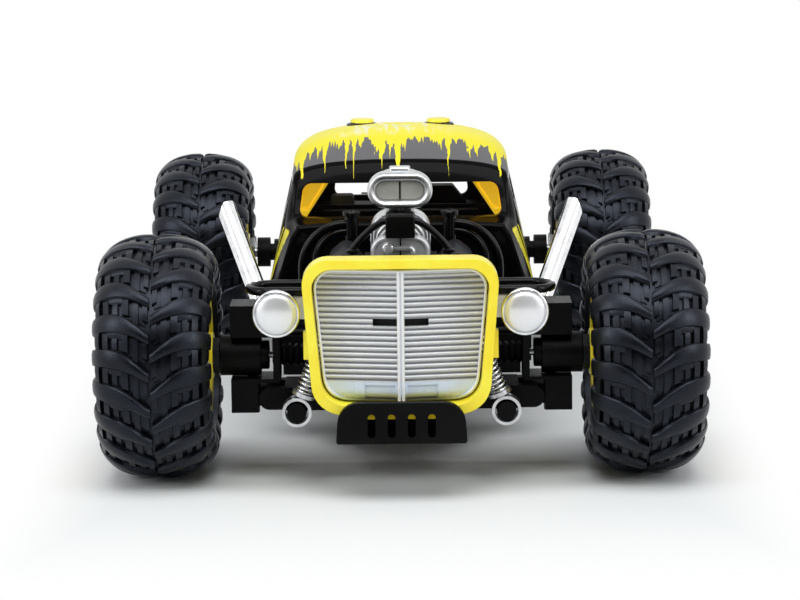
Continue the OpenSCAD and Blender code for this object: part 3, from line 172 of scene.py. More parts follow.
class Paint:
    """A material in the making, over the piece's own coordinates in millimetres."""

    def __init__(self, name, fixed=None):
        self.material = bpy.data.materials.new(name)
        self.material.use_nodes = True
        tree = self.material.node_tree
        self.shader = tree.nodes["Principled BSDF"]
        self.wire = Wire(tree)
        place = self.wire.node("TexCoord", output="Object")
        self.place = self.wire.node("VectorMath", {"operation": "SCALE"}, {0: place, "Scale": 1 / MM})
        for socket, value in (fixed or {}).items():
            self.shader.inputs[socket].default_value = value

    def axes(self):
        """The coordinates apart: side offset, distance behind the front axle, height over the hubs."""
        split = self.wire.node("SeparateXYZ", {}, {0: self.place})
        return split, split.other("Y") - FRONT_HUB.y, split.other("Z") - FRONT_HUB.z

    def noise(self, size, detail=2.0, stretch=(1, 1, 1)):
        """Cloudy noise of a feature size, drawn out along an axis by its stretch."""
        place = self.wire.node(
            "VectorMath", {"operation": "DIVIDE"}, {0: self.place, 1: tuple(s * size for s in stretch)})
        return self.wire.node("TexNoise", {}, {"Vector": place, "Scale": 1.0, "Detail": detail}, "Fac")

    def cells(self, size):
        """Distance to the nearest of scattered points, for flakes and pits."""
        return self.wire.node("TexVoronoi", {}, {"Vector": self.place, "Scale": 1 / size}, "Distance")

    def feed(self, **wires):
        """Links or sets sockets of the shader, with underscores for the spaces in their names."""
        for name, value in wires.items():
            socket = self.shader.inputs[name.replace("_", " ")]
            if isinstance(value, Wire):
                self.wire.tree.links.new(value.socket, socket)
            else:
                socket.default_value = value

    def bump(self, height, deep, strength=1.0):
        """Relief from a height between 0 and 1, deep millimetres."""
        normal = self.wire.node(
            "Bump", {}, {"Strength": strength, "Distance": deep * MM, "Height": height}, "Normal")
        self.feed(Normal=normal)


# Finishes

def tyre_rubber():
    """Rubber with a faint bloom, mould grain and dull patches."""
    paint = Paint("tyre_rubber", {"Specular IOR Level": 0.3, "Specular Tint": colour("#dbe6ff")})
    bloom = paint.noise(7, 4).fade(0.35, 0.75)
    paint.feed(
        Base_Color=bloom.tint("#090a0d", "#13151a"),
        Roughness=0.24 + 0.14 * paint.noise(3, 3))
    paint.bump(paint.noise(0.35, 3) + 0.6 * paint.noise(2.5, 2), 0.06)
    return paint.material


def moulded(name, deep, pale, rough, grain=0.4, relief=0.02, fixed=None):
    """Moulded plastic: faint flow marks in the colour, fine grain and a few scuffs."""
    paint = Paint(name, fixed)
    flow = paint.noise(14, 3, (1, 2.4, 1))
    scuffs = paint.noise(1.1, 3, (1, 9, 1)).fade(0.62, 0.74)
    paint.feed(
        Base_Color=flow.fade(0.3, 0.7).tint(deep, pale),
        Roughness=rough + 0.12 * scuffs + 0.06 * flow)
    paint.bump(paint.noise(grain, 2) + 0.3 * paint.noise(grain * 9, 2), relief)
    return paint.material


def silver_paint(name, deep, pale, metal, rough, relief=0.008):
    """Silver paint on plastic: flakes in the colour, and dust settled in soft clouds."""
    paint = Paint(name, {"Coat Roughness": 0.2})
    flakes = paint.cells(0.22).fade(0.1, 0.7)
    cloud = paint.noise(6, 3)
    paint.feed(
        Base_Color=(0.3 * flakes + 0.7 * cloud).tint(deep, pale),
        Metallic=metal + 0.1 * flakes,
        Roughness=rough + 0.1 * cloud,
        Coat_Weight=0.15 + 0.2 * cloud)
    paint.bump(flakes, relief)
    return paint.material


# Grille's paint: heights over which the apron starts and its foot darkens as painted shade, and how far
# aside that shade fades
APRON_W = (-2.4, -3.2)
FOOT_SHADE_W = (-6.4, -9.4)
FOOT_SHADE_X = (25, 12)


def grille_silver():
    """Silver paint of the grille: lip and rib pale at their front as a painted highlight, gaps dulled as
    painted shade, black vent, and an apron whose foot is darkened as painted shade.
    """
    paint = Paint("grille_silver", {"Coat Roughness": 0.2})
    x, v, w = paint.axes()
    deep = v - PROW_TIP - PROW_RISE * abs(x)
    # Painted shade: the silver darkens with depth behind the prow, in the gaps between the slats
    groove_shade = deep.fade(0.5, 1.2)
    # Painted highlight: the frontmost crests, the lip and the double rib, turn near white
    crest_highlight = deep.fade(-0.3, -0.6)
    vent = abs(x).fade(VENT_HALF + 0.15, VENT_HALF) * w.between(*VENT_W, 0.15) * deep.fade(1.5, 2.1)
    apron = w.fade(*APRON_W)
    # Painted shade: the apron darkens towards its foot
    foot = w.fade(*FOOT_SHADE_W) * abs(x).fade(*FOOT_SHADE_X)
    cloud = paint.noise(6, 3)
    silver = (0.8 * groove_shade).tint("#d2d4d7", "#86888c")
    cool = foot.tint("#d3e2f6", "#4b5058")
    silver_with_painted_light = crest_highlight.tint(apron.tint(silver, cool), "#eceef0")
    paint.feed(
        Base_Color=vent.tint(silver_with_painted_light, "#050505"),
        Metallic=0.35 * (1 - vent) * (1 - apron),
        Roughness=0.42 + 0.1 * cloud + 0.3 * vent,
        Coat_Weight=(0.1 + 0.15 * cloud) * (1 - vent))
    paint.bump(paint.cells(0.22).fade(0.1, 0.7), 0.008)
    return paint.material


def plated(name, deep, pale, rough, draw=(1, 1, 1)):
    """Plated or turned metal: smudges in the gloss and fine marks along its draw."""
    paint = Paint(name)
    smudge = paint.noise(5, 4).fade(0.4, 0.8)
    marks = paint.noise(0.5, 3, draw)
    paint.feed(
        Base_Color=smudge.tint(pale, deep),
        Metallic=1.0,
        Roughness=rough + 0.14 * smudge + 0.05 * marks)
    paint.bump(marks, 0.008)
    return paint.material


def gloss_black(name):
    """Black gloss paint with a slight orange peel and fine dust."""
    paint = Paint(name, {"Coat Roughness": 0.04, "Specular IOR Level": 0.1})
    dust = paint.noise(0.8, 3).fade(0.66, 0.8)
    cloud = paint.noise(11, 3)
    paint.feed(
        Base_Color=dust.tint("#060607", "#131315"),
        Roughness=0.2 + 0.12 * cloud + 0.25 * dust,
        Coat_Weight=0.08 + 0.1 * cloud)
    paint.bump(paint.noise(1.6, 2), 0.015)
    return paint.material


# Print of the cab: the grey roof over the visor, its yellow strokes, pale strokes that are print and a
# painted highlight on the roof's crown, and the flank's dashes
ROOF_FROM = 54.0
VISOR_V = 112.6
YELLOW_V = (136, 184)
PALE_HIGHLIGHT_V = (146, 174)
FLANK_X = 46.5
DASH_W = (8, 34)
DASHES = ((113, 120), (123.5, 126), (144, 160))
# Painted shade inside the shell, black: from where to where it thickens, lengthwise and downwards
INNER_SHADE_V = (199, 203)
INNER_SHADE_W = (37, 35)
# Shift that keeps the numbers of the strokes' lanes above zero, with one lane on the car's middle
LANE_SHIFT = 40.5


def streaks(paint, x, wide):
    """Random lengths, from 0 to 1 and mostly short, of pointed brush strokes laid side by side."""
    share = x / wide + LANE_SHIFT
    lane = share.floor()
    length = paint.wire.node("TexWhiteNoise", {"noise_dimensions": "1D"}, {"W": lane + wide}, "Value")
    return length * length * (1 - 2 * abs(share - lane - 0.5))


def cab_paint():
    """Black shell with a satin grey roof, yellow brush strokes on the roof, pale strokes and a paler yellow
    towards the crown as painted highlight, and slanted flank dashes.
    """
    paint = Paint("cab_paint", {"Coat Roughness": 0.05, "Specular IOR Level": 0.03})
    x, v, w = paint.axes()
    roof = w.fade(ROOF_FROM, ROOF_FROM + 2) * v.fade(VISOR_V, VISOR_V + 0.8)
    sway = x + 2.4 * paint.noise(8, 2)
    fray = paint.noise(0.9, 3, (1, 9, 1))
    strokes = 15 * streaks(paint, sway, 8.3) + 30 * streaks(paint, sway, 3.1) + 10 * streaks(paint, x, 1.1)
    front = YELLOW_V[0] - strokes + 3 * fray
    back = YELLOW_V[1] + 0.8 * strokes + 3 * fray
    bristles = paint.noise(2.2, 2, (1, 9, 1)).fade(0.45, 0.7)
    # Pale strokes: print, and a painted highlight on the crown of the roof
    pale = v.between(*PALE_HIGHLIGHT_V, 8) * abs(x + 4).fade(32, 12) * bristles
    brushed = w.fade(ROOF_FROM, ROOF_FROM + 1) * (v - front).fade(0, 0.6) * (back - v).fade(0, 0.6)
    slant = v + 0.55 * w + 2 * fray
    flank = abs(x).fade(FLANK_X, FLANK_X + 1) * w.between(*DASH_W, 1)
    dashes = sum(slant.between(*dash, 0.4) for dash in DASHES)
    yellow = brushed + flank * dashes
    worn = paint.noise(0.9, 4).fade(0.68, 0.78)
    ground = roof.tint("#060607", "#707072")
    # Painted highlight: the yellow turns paler further back, towards the top of the roof
    lemon_and_highlight = v.fade(132, 158).tint("#fdf03c", "#fef66a")
    print_and_highlight_colour = pale.tint(lemon_and_highlight, "#fbf9d2")
    paint.feed(
        Base_Color=(yellow * (1 - 0.4 * worn)).tint(ground, print_and_highlight_colour),
        Roughness=0.16 + 0.3 * roof + 0.1 * worn,
        Coat_Weight=0.05 * (1 - roof))
    paint.bump(paint.noise(1.5, 2) + 0.8 * yellow, 0.02)
    return paint.material


def cab_lining():
    """Inside of the shell: yellow plastic with sink marks, turned black at the tail and low down as painted
    shade.
    """
    paint = Paint("cab_lining", {"Specular IOR Level": 0.3})
    _, v, w = paint.axes()
    # Painted shade: black deep in the tail and low inside the cab, with a ragged edge
    shade_edge_noise = 3 * paint.noise(2, 3)
    black = (v + shade_edge_noise).fade(*INNER_SHADE_V).most((w + shade_edge_noise).fade(*INNER_SHADE_W))
    sink = paint.noise(9, 3)
    paint.feed(
        Base_Color=black.tint(sink.tint("#f7b500", "#ffcb14"), "#070708"),
        Roughness=0.34 + 0.14 * sink + 0.2 * black)
    paint.bump(sink + 0.2 * paint.noise(0.5, 2), 0.06)
    return paint.material


def battery_wrap():
    """Blue shrink film with creases."""
    paint = Paint("battery_wrap")
    creases = paint.noise(2.5, 4, (1, 5, 1))
    paint.feed(
        Base_Color=creases.tint("#26488f", "#3a63b5"),
        Roughness=0.3 + 0.25 * creases)
    paint.bump(creases, 0.12)
    return paint.material


def board_lacquer():
    """Green lacquer over winding tracks."""
    paint = Paint("board_lacquer")
    spread = 9 * paint.cells(2.2)
    tracks = spread.sine().fade(0.5, 0.8)
    paint.feed(
        Base_Color=tracks.tint("#0d5a2b", "#2a8a4c"),
        Roughness=0.3 + 0.15 * tracks)
    paint.bump(tracks, 0.03)
    return paint.material


DULL = {"Specular IOR Level": 0.08}
RUBBER = tyre_rubber()
BLACK = moulded("moulded_black", "#070708", "#0e0e0f", 0.42, fixed=DULL)
SATIN_BLACK = moulded("satin_black", "#060607", "#0c0c0d", 0.3, 0.6, 0.012, {"Specular IOR Level": 0.2})
INTERIOR = moulded("interior_dark", "#0c0c0d", "#161617", 0.5, fixed=DULL)
ENGINE = moulded("engine_grey", "#202123", "#2c2d30", 0.4, 0.5, 0.03, DULL)
FLAP = moulded("flap_grey", "#9a9a94", "#aaaaa3", 0.42, 0.5, 0.02, DULL)
YELLOW = moulded("moulded_yellow", "#fde62a", "#fff448", 0.3, 0.5, 0.006)
# Painted light: the gussets glow a little, to lift them out of the shade inside the cab
GLOWING_CAGE = moulded("cage_yellow_glow", "#ffd01e", "#ffe24e", 0.36, 0.5, 0.01,
               {"Emission Color": colour("#ffd026"), "Emission Strength": 0.45})
# Painted shade: a dead black floor for the shaded depth of the bumper's slots
SLOT_SHADE = moulded("slot_shade_black", "#020202", "#040404", 0.8, fixed={"Specular IOR Level": 0.0})
# Painted shade: a darker copy of the yellow for the surround seen in shade through the slots
SHADED_YELLOW = moulded("shaded_yellow", "#a8920c", "#bfa714", 0.5, fixed=DULL)
OLIVE = moulded("pad_olive", "#3d3b30", "#4c493b", 0.6, fixed=DULL)
NYLON = moulded("nylon_white", "#cfcfca", "#e2e2dd", 0.45)
SILVER = silver_paint("silver_paint", "#bfc1c4", "#dcdee0", 0.45, 0.3)
BRACKET = silver_paint("bracket_silver", "#e0e0dc", "#f0f0ec", 0.1, 0.4)
PEARL = silver_paint("pearl_silver", "#e2e4e7", "#f3f4f6", 0.4, 0.2, 0.002)
GRILLE = grille_silver()
CHROME = plated("chrome", "#c4c7ca", "#f1f2f4", 0.05)
SATIN = plated("satin_plate", "#b0b2b4", "#d0d2d4", 0.26)
STEEL = plated("turned_steel", "#7d8084", "#b4b7bb", 0.24, (8, 1, 1))
BRASS = plated("cut_brass", "#9a7430", "#cfa04a", 0.26)
BURNT = plated("blackened_steel", "#19191b", "#2f3033", 0.34)
GLOSS = gloss_black("gloss_black")
CAB = cab_paint()
LINING = cab_lining()
WRAP = battery_wrap()
BOARD = board_lacquer()


# Shapes

class Shape:
    """Points in millimetres and the faces between them, each with the number of its finish."""

    def __init__(self):
        self.points = []
        self.faces = []
        self.finish = []

    def grid(self, rows, around=True, caps=True, finish=0):
        """Joins rows of points by quads, each row closed around, with the end rows capped."""
        start = len(self.points)
        wide = len(rows[0])
        for row in rows:
            self.points.extend(Vector(p) for p in row)
        spans = wide if around else wide - 1
        for i in range(len(rows) - 1):
            for k in range(spans):
                a = start + i * wide + k
                b = start + i * wide + (k + 1) % wide
                self.add((a, b, b + wide, a + wide), finish)
        if caps:
            self.add(range(start, start + wide), finish)
            self.add(range(start + (len(rows) - 1) * wide, start + len(rows) * wide), finish)

    def turned(self, profile, place, steps=64, finish=0):
        """A turned form about its axis: place maps along, out and up to a point."""
        angles = [2 * math.pi * k / steps for k in range(steps)]
        rows = [[place(along, r * math.sin(a), r * math.cos(a)) for a in angles] for r, along in profile]
        self.grid(rows, caps=False, finish=finish)

    def bar(self, outline, depths, place=nose, finish=0):
        """A bar with an outline at each depth: place maps across, depth and up to a point."""
        self.grid([[place(p[0], depth, p[1]) for p in outline] for depth in depths], finish=finish)

    def add(self, face, finish):
        self.faces.append(tuple(face))
        self.finish.append(finish)

    def mesh(self, name, finishes):
        mesh = bpy.data.meshes.new(name)
        mesh.from_pydata([p * MM for p in self.points], [], self.faces)
        for finish in finishes:
            mesh.materials.append(finish)
        mesh.polygons.foreach_set("material_index", self.finish)
        form = bmesh.new()
        form.from_mesh(mesh)
        bmesh.ops.remove_doubles(form, verts=form.verts, dist=1e-7)
        bmesh.ops.recalc_face_normals(form, faces=form.faces)
        form.to_mesh(mesh)
        form.free()
        return mesh


def piece(name, shape, finishes, smooth=40):
    """An object from a shape, smooth but for edges sharper than smooth degrees."""
    obj = bpy.data.objects.new(name, shape.mesh(name, finishes))
    bpy.context.scene.collection.objects.link(obj)
    round_off(obj, smooth)
    return obj


def round_off(obj, smooth):
    obj.data.shade_smooth()
    obj.data.set_sharp_from_angle(angle=math.radians(smooth))


def arc(middle_point, across, up, radius, start, stop, steps):
    """Points on an arc, from start to stop degrees, across and up being its plane's directions."""
    angles = [math.radians(start + (stop - start) * k / steps) for k in range(steps + 1)]
    return [middle_point + radius * (across * math.cos(a) + up * math.sin(a)) for a in angles]


def tube_rows(points, radius, sides=16, rounded=True):
    """Rings along a route, carried along without twist, with domed ends."""
    points = [Vector(p) for p in points]
    heads = [(points[min(i + 1, len(points) - 1)] - points[max(i - 1, 0)]).normalized()
             for i in range(len(points))]
    side = heads[0].orthogonal().normalized()
    rows = []
    for point, head in zip(points, heads):
        side = (side - head * side.dot(head)).normalized()
        lift = head.cross(side)
        angles = [2 * math.pi * k / sides for k in range(sides)]
        rows.append([point + radius * (side * math.cos(a) + lift * math.sin(a)) for a in angles])
    if rounded:
        rows = dome(rows[0], points[0], -heads[0], radius)[::-1] + rows
        rows += dome(rows[-1], points[-1], heads[-1], radius)
    return rows


# Height of a tube's domed ends, as a share of its radius
DOME_RISE = 0.5


def dome(ring, point, head, radius):
    """Rings that close an end with a low dome."""
    return [[point + (p - point) * math.cos(a) + head * radius * DOME_RISE * math.sin(a) for p in ring]
            for a in (math.radians(d) for d in (30, 60, 84))]


def rectangle(x0, x1, y0, y1):
    """Corners of a rectangle, in turn."""
    return [(x0, y0), (x1, y0), (x1, y1), (x0, y1)]


def rounded_outline(corners, radii, steps=6):
    """An outline whose corners are arcs."""
    outline = []
    for i, (corner, radius) in enumerate(zip(corners, radii)):
        before = Vector(corners[i - 1])
        here = Vector(corner)
        after = Vector(corners[(i + 1) % len(corners)])
        a = (before - here).normalized()
        b = (after - here).normalized()
        half = a.angle(b) / 2
        hub = here + (a + b).normalized() * radius / math.sin(half)
        first = (here + a * radius / math.tan(half)) - hub
        turn = first.angle_signed((here + b * radius / math.tan(half)) - hub)
        for k in range(steps + 1):
            bend = -turn * k / steps
            outline.append(hub + Vector((
                first.x * math.cos(bend) - first.y * math.sin(bend),
                first.x * math.sin(bend) + first.y * math.cos(bend))))
    return outline


# Tyres

def tread(t, r, half, drop):
    """Radius and side offset at a share t of the tread's arc, from -1 to 1."""
    a = math.pi / 2 * (1 - t)
    out = math.cos(a)
    up = max(math.sin(a), 0.0)
    power = 2 / TREAD_POWER
    return r - drop + drop * up ** power, math.copysign(abs(out) ** power, out) * half


def tread_height(t, k):
    """Radius and side offset between the carcass, k = 0, and the lugs' tops, k = 1."""
    r0, x0 = tread(t, TYRE_R - LUG_H, TYRE_HALF - 2, TYRE_DROP - 1)
    r1, x1 = tread(t, TYRE_R, TYRE_HALF, TYRE_DROP)
    return r0 + (r1 - r0) * k, x0 + (x1 - x0) * k


# Fall of a block's top towards its edges, as a share of the lugs' height
LUG_CROWN = 0.11
# Foot of a block's flanks: how far it spreads, and its height as a share of the lugs'
FOOT_SPREAD = 0.7
FOOT_SINK = -0.2
# Share of the tread's arc between the rows of a tooth
TOOTH_STEP = 0.06
# Lower and upper edge of a lug: share of the tread's arc, and millimetres up the front of the tyre
LUG_LOW = [(0.003, -1.4), (0.1, 0.9), (0.2, 2.6), (0.32, 3.6), (0.5, 4.2), (0.95, 4.4)]
LUG_HIGH = [(0.003, 2.4), (0.1, 6.0), (0.2, 8.8), (0.32, 11.0), (0.5, 12.2), (0.95, 12.4)]
LUG_TOP = [(0.003, 0.85), (0.03, 1.0), (0.86, 1.0), (0.92, 0.8), (0.975, 0.2)]
# Teeth below a lug, down to the next: from and to as shares, how far they hang, height share
LUG_TEETH = [(0.03, 0.86, 8.6, 0.24), (0.012, 0.05, 6.4, 0.6), (0.088, 0.145, 9.6, 0.5),
             (0.19, 0.265, 7.2, 0.68), (0.265, 0.46, 2.6, 0.62), (0.33, 0.4, 7.4, 0.5),
             (0.46, 0.56, 7.4, 0.66), (0.56, 0.7, 1.8, 0.6), (0.62, 0.72, 7.2, 0.9),
             (0.78, 0.88, 5.6, 0.5)]
# Shares of the tread's arc at which a lug has its rows
LUG_ROWS = (0.003, 0.03, 0.1, 0.15, 0.2, 0.26, 0.32, 0.4, 0.48, 0.56, 0.62, 0.68, 0.74, 0.8, 0.86, 0.92,
            0.975)


def line_at(points, t):
    """Height of a line of points at t."""
    for (t0, y0), (t1, y1) in zip(points, points[1:]):
        if t <= t1:
            return y0 + (y1 - y0) * max(t - t0, 0) / (t1 - t0)
    return points[-1][1]


def block(shape, spot, shares, low, high, top, edge=0.45):
    """A moulded block on the tread, between two lines and as tall as top, crowned and with soft edges."""
    rows = []
    for t in shares:
        y0, y1, k = low(t), high(t), top(t)
        drop = edge / LUG_H
        side = k - LUG_CROWN
        section = [(y0 - FOOT_SPREAD, FOOT_SINK), (y0, side - drop), (y0 + edge, side),
                   (y0 * 0.7 + y1 * 0.3, k - 0.02), (y0 * 0.3 + y1 * 0.7, k),
                   (y1 - edge, side), (y1, side - drop), (y1 + FOOT_SPREAD, FOOT_SINK)]
        rows.append([spot(t, y, height) for y, height in section])
    shape.grid(rows)


def lug(shape, spot):
    """A lug and the teeth below it."""
    low = lambda t: line_at(LUG_LOW, t)
    high = lambda t: line_at(LUG_HIGH, t)
    block(shape, spot, LUG_ROWS, low, high, lambda t: line_at(LUG_TOP, t))
    for first, last, hang, height in LUG_TEETH:
        count = max(round((last - first) / TOOTH_STEP), 2)
        spread = [first + (last - first) * k / count for k in range(count + 1)]
        block(shape, spot, spread, lambda t: low(t) - hang, lambda t: low(t) + 1, lambda t: height, 0.3)


# Seam around the tread and rings on the sides: their heights, and where the rings lie on the arc
SEAM_H = 0.5
RING_T = (0.72, 0.8)
RING_SHARE = 0.22


def carcass_profile():
    """Half round of the tyre without its lugs, from bead to bead, with a seam and two side rings."""
    profile = [(BEAD_R, -BEAD_HALF), (BEAD_RISE, -BEAD_HALF)]
    count = 28
    for k in range(-count, count + 1):
        t = k / count
        ring = RING_T[0] < abs(t) < RING_T[1]
        r, x = tread_height(t, RING_SHARE if ring else 0)
        profile.append((r + (SEAM_H if k == 0 else 0), x))
    return profile + [(BEAD_RISE, BEAD_HALF), (BEAD_R, BEAD_HALF)]


def tyre(name, hub, side):
    """A tyre with chevron lugs, the two halves half a pitch apart."""
    shape = Shape()
    place = lambda x, y, z: hub + Vector((x, y, z))
    shape.turned(carcass_profile(), place, 120)
    step = 2 * math.pi / LUG_COUNT
    for i in range(LUG_COUNT):
        for flank, shift in ((side, 0.0), (-side, 0.5)):
            def spot(t, y, k, turn=-(i + shift) * step, flank=flank):
                r, x = tread_height(t, k)
                a = turn + y / TYRE_R
                return place(flank * x, r * math.sin(a), r * math.cos(a))
            lug(shape, spot)
    return piece(name, shape, [RUBBER], 32)


def tyres():
    """The four tyres on their wheels."""
    for word, side in SIDES.items():
        mirrored = Vector((side, 1, 1))
        front = tyre(f"front_tread_{word}", FRONT_HUB * mirrored, side)
        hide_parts(f"front_tyre_{word}")
        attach(front, f"front_wheel_{word}")
        rear = tyre(f"rear_tread_{word}", REAR_HUB * mirrored, side)
        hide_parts(f"rear_tyre_{word}")
        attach(rear, "rear_wheels")


# Springs

def spring(name, foot, head, first, last):
    """A coil of round wire about the line from foot to head, between two distances along it."""
    along = (head - foot).normalized()
    out = along.orthogonal().normalized()
    over = along.cross(out)
    steps = 20
    rest = 0.8
    turns = SPRING_TURNS + 2 * rest
    low = first + SPRING_WIRE / 2
    high = last - SPRING_WIRE / 2
    points = []
    for k in range(int(turns * steps) + 1):
        turn = k / steps
        share = min(max((turn - rest) / SPRING_TURNS, 0), 1)
        a = 2 * math.pi * turn
        points.append(foot + along * (low + (high - low) * share)
                      + SPRING_R * (out * math.cos(a) + over * math.sin(a)))
    shape = Shape()
    shape.grid(tube_rows(points, SPRING_WIRE / 2, 10))
    return piece(name, shape, [CHROME], 60)


# Lower and upper eye of each shock, and where its coil starts and ends along the line between them
FRONT_SHOCK = (Vector((40, -150, 29.7)), Vector((20, -150, 80)), 7.7, 42.63)
REAR_SHOCK = (Vector((34.6, 148, 50.5)), Vector((34.6, 98, 74.5)), 7.7, 43.96)


def springs():
    """Coils that stretch between each shock's rod and cylinder."""
    for word, side in SIDES.items():
        mirrored = Vector((side, 1, 1))
        for end, (foot, head, first, last) in (("front", FRONT_SHOCK), ("rear", REAR_SHOCK)):
            foot = foot * mirrored
            head = head * mirrored
            coil = spring(f"{end}_coil_{word}", foot, head, first, last)
            if end == "front":
                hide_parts(f"front_spring_{word}")
                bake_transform(coil)
            else:
                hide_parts("rear_springs")
                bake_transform(coil)


# Cab

# Distance behind the front axle; half width and height at the foot and the sill; the same at the
# eave; height of the crown
CAB_ROWS = [
    (90, 53, 11, 46, 33, 44, 36, 38),
    (101, 56.5, 5.5, 48.5, 36, 45.5, 38.5, 40.5),
    (112, 57.2, 5.5, 49.8, 37, 45.6, 54, 61.5),
    (128, 57.5, 5.5, 50.5, 37, 46.2, 55, 67),
    (156, 57.5, 5.5, 51, 36.5, 46.6, 56, 71),
    (182, 57, 5.5, 50.5, 36, 46, 55, 70),
    (198, 55.5, 6, 49, 35, 44.5, 52, 66),
    (208, 52, 8, 46, 34, 42, 49, 60),
    (214, 47, 11, 42.5, 33.5, 39, 46, 53.5),
]
CAB_WALL = 2.0
ROOF_POWER = 2.5
# Points up the flank, up the window band and over half the roof
FLANK_STEPS = 7
BAND_STEPS = 8
ROOF_STEPS = 22
# Windows and the notch in the tail: corners, with their rounding
SCREEN = ([(41, 52.6), (-41, 52.6), (-43, 39), (43, 39)], (4, 4, 3, 3))
BACK_LIGHT = ([(29, 49), (-29, 49), (-31, 33), (31, 33)], (3, 3, 3, 3))
DOOR = ([(120, 52), (114, 39), (160, 39), (160, 53)], (3, 2, 3, 3))
QUARTER = ([(166, 53), (166, 39), (194, 38), (190, 50)], (3, 3, 3, 4))
BACK_NOTCH = (rectangle(22.9, -22.9, 26.5, 0), (2, 2, 1, 1))
# Lengths and width over which they are cut
SCREEN_V = (95, 122)
BACK_V = (202, 222)
DOOR_X = (-80, 80)


def slope(values, places, i):
    """Slope of a curve through values that never swings past them."""
    if i in (0, len(values) - 1):
        j = max(i - 1, 0)
        return (values[j + 1] - values[j]) / (places[j + 1] - places[j])
    before = (values[i] - values[i - 1]) / (places[i] - places[i - 1])
    after = (values[i + 1] - values[i]) / (places[i + 1] - places[i])
    return 0 if before * after <= 0 else 2 * before * after / (before + after)


def cab_rows(steps):
    """The cab's rows, with more rows between on smooth curves."""
    places = [row[0] for row in CAB_ROWS]
    columns = list(zip(*CAB_ROWS))[1:]
    rows = []
    for i in range(len(CAB_ROWS) - 1):
        span = places[i + 1] - places[i]
        for k in range(steps + (i == len(CAB_ROWS) - 2)):
            t = k / steps
            row = [places[i] + span * t]
            for c in columns:
                m0 = slope(c, places, i) * span
                m1 = slope(c, places, i + 1) * span
                row.append((2 * t**3 - 3 * t**2 + 1) * c[i] + (t**3 - 2 * t**2 + t) * m0
                           + (3 * t**2 - 2 * t**3) * c[i + 1] + (t**3 - t**2) * m1)
            rows.append(row)
    return rows


def cab_section(row):
    """Points of the cab across the car, from foot to foot over the roof."""
    v, foot_x, foot_w, sill_x, sill_w, eave_x, eave_w, crown = row
    half = []
    for k in range(FLANK_STEPS):
        t = k / FLANK_STEPS
        half.append((foot_x + (sill_x - foot_x) * t, foot_w + (sill_w - foot_w) * t))
    for k in range(BAND_STEPS):
        t = k / BAND_STEPS
        half.append((sill_x + (eave_x - sill_x) * t, sill_w + (eave_w - sill_w) * t))
    for k in range(ROOF_STEPS):
        a = math.radians(90 * k / ROOF_STEPS)
        half.append((eave_x * math.cos(a) ** (2 / ROOF_POWER),
                     eave_w + (crown - eave_w) * math.sin(a) ** (2 / ROOF_POWER)))
    return ([nose(x, v, w) for x, w in half] + [nose(0, v, crown)]
            + [nose(-x, v, w) for x, w in reversed(half)])


# Rounding over of an end: share of its outline, and how far it stands out
CAB_EDGE = ((0.985, 0.5), (0.95, 0.9), (0.85, 1.0), (0.6, 1.0), (0.3, 1.0), (0.02, 1.0))


def closed_end(row, outwards):
    """Rows that close an end of the cab, rounded over at its edge."""
    ring = cab_section(row)
    hub = nose(0, row[0], row[2])
    rows = []
    for share, out in CAB_EDGE:
        rows.append([hub + (p - hub) * share + Vector((0, outwards * out, 0)) for p in ring])
    return rows


def shrunk(outline, share):
    """An outline drawn in towards its middle."""
    hub = sum(outline, Vector((0, 0))) / len(outline)
    return [hub + (p - hub) * share for p in outline]


def cut_out(obj, cuts, finish):
    """Cuts bars out of a piece, each by its outline, place and depths, with the cut faces in a finish."""
    cutters = []
    for outline, place, depths in cuts:
        shape = Shape()
        shape.bar(rounded_outline(*outline), depths, place)
        cutter = bpy.data.objects.new("cutter", shape.mesh("cutter", [finish]))
        bpy.context.scene.collection.objects.link(cutter)
        cut = obj.modifiers.new("cut", "BOOLEAN")
        cut.object = cutter
        cut.operation = "DIFFERENCE"
        cut.solver = "EXACT"
        cut.material_mode = "TRANSFER"
        cutters.append(cutter)
    bpy.context.view_layer.update()
    shown = obj.evaluated_get(bpy.context.evaluated_depsgraph_get())
    whole = bpy.data.meshes.new_from_object(shown)
    obj.modifiers.clear()
    obj.data = whole
    for cutter in cutters:
        bpy.data.objects.remove(cutter)


def cab():
    """The shell of the cab with its windows cut out."""
    rows = cab_rows(7)
    sections = [cab_section(row) for row in rows]
    first = closed_end(rows[0], -1)[::-1]
    last = closed_end(rows[-1], 1)
    skin = Shape()
    skin.grid(first + sections + last, around=False, caps=False)
    shell = piece("cab_skin", skin, [CAB, LINING])
    wall = shell.modifiers.new("wall", "SOLIDIFY")
    wall.thickness = CAB_WALL * MM
    wall.offset = -1
    wall.use_even_offset = True
    wall.material_offset = 1
    wall.material_offset_rim = 0
    sideways = lambda v, x, w: nose(x, v, w)
    cut_out(shell, [
        (SCREEN, nose, SCREEN_V), (BACK_LIGHT, nose, BACK_V), (BACK_NOTCH, nose, BACK_V),
        (DOOR, sideways, DOOR_X), (QUARTER, sideways, DOOR_X),
    ], GLOSS)
    round_off(shell, 35)
    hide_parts("cab_shell")
    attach(shell, "chassis")


# Profile of a pod on the roof, radius and height, with its place
POD = [(7.0, 64.0), (7.0, 69.4), (6.8, 69.9), (6.2, 70.2), (5.4, 70.2), (5.2, 70.6), (5.2, 71.4),
       (4.9, 71.9), (4.2, 72.1), (2.4, 72.2), (0.02, 72.2)]
POD_AT = (17, 178)


def roof_pods():
    """Two black pods on the roof with yellow caps."""
    shape = Shape()
    for side in SIDES.values():
        place = lambda along, y, z: nose(side * POD_AT[0] + y, POD_AT[1] + z, along)
        shape.turned(POD[:6], place, 40)
        shape.turned(POD[5:], place, 40, finish=1)
    pods = piece("roof_pods", shape, [GLOSS, YELLOW])
    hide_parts("cab_shell")
    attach(pods, "chassis")


